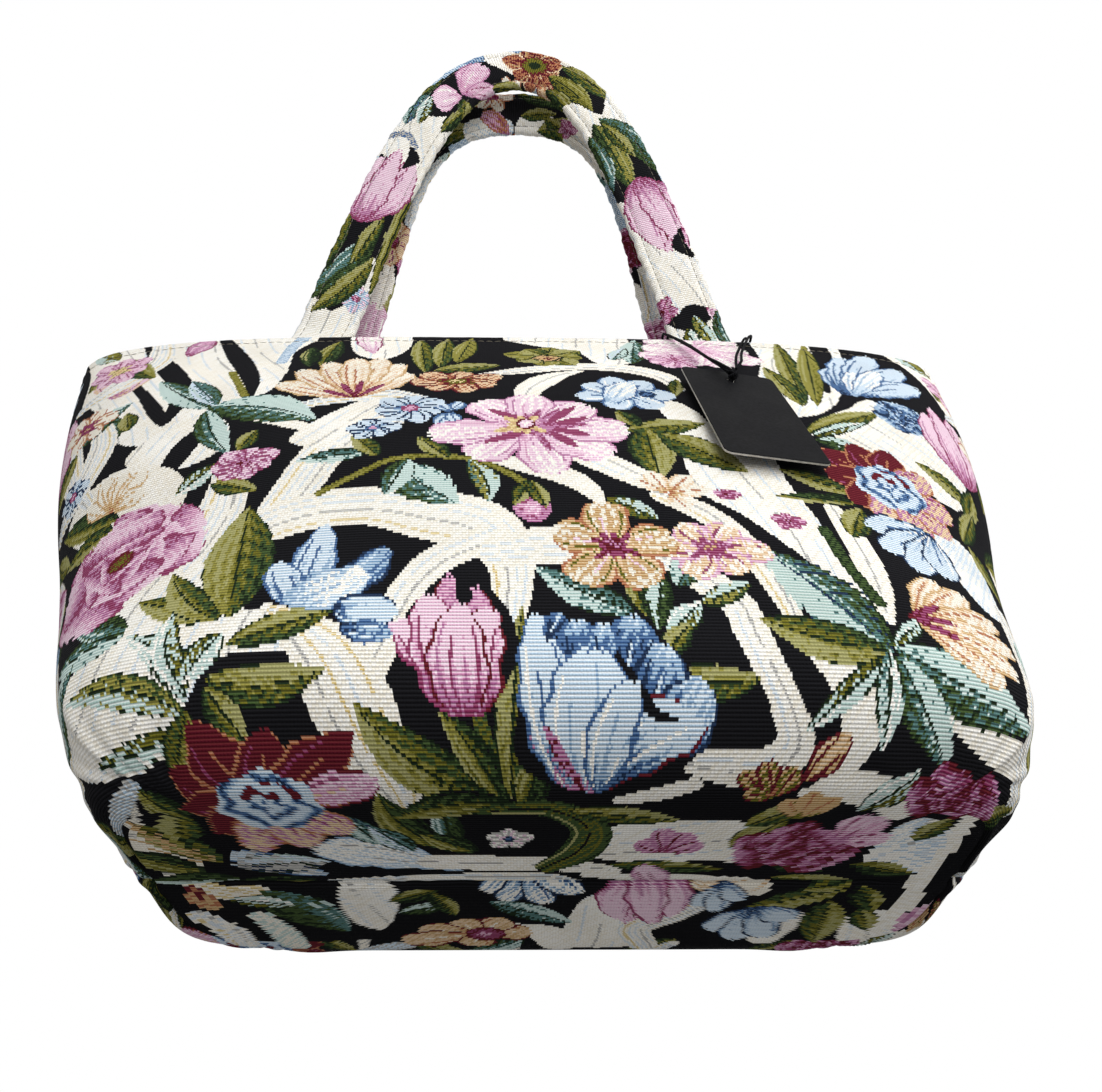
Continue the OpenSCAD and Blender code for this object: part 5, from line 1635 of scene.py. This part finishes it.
def floor_material():
    """Pale floor that fades to white away from the bag, clear from below for the photograph's low view."""
    n = Nodes("floor")
    where = n.add("ShaderNodeTexCoord").outputs["Object"]
    grain = n.noise(40.0, 3.0, where)
    n.put(n.shader.inputs["Base Color"], n.blend(grain, srgb("efeeec"), srgb("f4f3f1")))
    n.shader.inputs["Roughness"].default_value = 0.8
    n.shader.inputs["Specular IOR Level"].default_value = 0.1
    far = n.add("ShaderNodeEmission")
    fade = n.add("ShaderNodeMixShader")
    away = n.add("ShaderNodeVectorMath", operation="LENGTH")
    n.link(where, away.inputs[0])
    n.link(n.span(away.outputs["Value"], FADE_FROM, FADE_TO), fade.inputs[0])
    n.link(n.shader.outputs[0], fade.inputs[1])
    n.link(far.outputs[0], fade.inputs[2])
    clear = n.add("ShaderNodeBsdfTransparent")
    pick = n.add("ShaderNodeMixShader")
    n.link(n.add("ShaderNodeNewGeometry").outputs["Backfacing"], pick.inputs[0])
    n.link(fade.outputs[0], pick.inputs[1])
    n.link(clear.outputs[0], pick.inputs[2])
    n.link(pick.outputs[0], n.out.inputs["Surface"])
    return n.material


def make_floor():
    """A plain floor just below the bag. It shows the bag's shadow and keeps no light from the bag."""
    r = FLOOR_SIZE
    points = np.array([(-r, -r, FLOOR_Z), (r, -r, FLOOR_Z), (r, r, FLOOR_Z), (-r, r, FLOOR_Z)])
    floor = mesh_object("floor", points, np.array([[0, 1, 2, 3]]), floor_material())
    floor.visible_shadow = False
    floor.visible_diffuse = False


def make_world():
    world = bpy.data.worlds.new("studio")
    bpy.context.scene.world = world
    world.use_nodes = True
    tree = world.node_tree
    light = tree.nodes["Background"]
    light.inputs["Color"].default_value = (1.0, 1.0, 1.0, 1.0)
    # Softer light from below than from above
    up = tree.nodes.new("ShaderNodeSeparateXYZ")
    tree.links.new(tree.nodes.new("ShaderNodeTexCoord").outputs["Generated"], up.inputs[0])
    level = tree.nodes.new("ShaderNodeMapRange")
    values = {"From Min": -0.7, "From Max": 0.5, "To Min": LIGHT_BELOW, "To Max": LIGHT_ABOVE}
    for name, value in values.items():
        level.inputs[name].default_value = value
    tree.links.new(up.outputs["Z"], level.inputs["Value"])
    tree.links.new(level.outputs[0], light.inputs["Strength"])
    white = tree.nodes.new("ShaderNodeBackground")
    white.inputs["Color"].default_value = (1.0, 1.0, 1.0, 1.0)
    white.inputs["Strength"].default_value = 1.0
    path = tree.nodes.new("ShaderNodeLightPath")
    seen = tree.nodes.new("ShaderNodeMath")
    seen.operation = "MAXIMUM"
    tree.links.new(path.outputs["Is Camera Ray"], seen.inputs[0])
    more = tree.nodes.new("ShaderNodeMath")
    more.operation = "MAXIMUM"
    tree.links.new(path.outputs["Is Glossy Ray"], more.inputs[0])
    tree.links.new(path.outputs["Is Transmission Ray"], more.inputs[1])
    tree.links.new(more.outputs[0], seen.inputs[1])
    pick = tree.nodes.new("ShaderNodeMixShader")
    tree.links.new(seen.outputs[0], pick.inputs[0])
    tree.links.new(light.outputs[0], pick.inputs[1])
    tree.links.new(white.outputs[0], pick.inputs[2])
    tree.links.new(pick.outputs[0], tree.nodes["World Output"].inputs["Surface"])


def make_lamp(name, place, target, size, power):
    data = bpy.data.lights.new(name, "AREA")
    data.shape = "DISK"
    data.size = size
    data.energy = power
    lamp = bpy.data.objects.new(name, data)
    lamp.location = place
    lamp.rotation_mode = "QUATERNION"
    lamp.rotation_quaternion = (Vector(target) - Vector(place)).to_track_quat("-Z", "Y")
    bpy.context.scene.collection.objects.link(lamp)


make_floor()
make_world()
make_lamp("key", (0.2, -1.0, 0.8), (0, 0, 0.15), 1.0, 8.5)
make_lamp("low", (0.2, -1.2, -0.1), (0, 0, 0.1), 0.9, 5.5)
make_lamp("right", (1.0, -0.3, 0.5), (0, 0, 0.15), 0.9, 4.5)
make_lamp("back", (0.2, 1.1, 0.9), (0, 0, 0.15), 0.9, 9)

bpy.context.scene.view_settings.view_transform = "Standard"
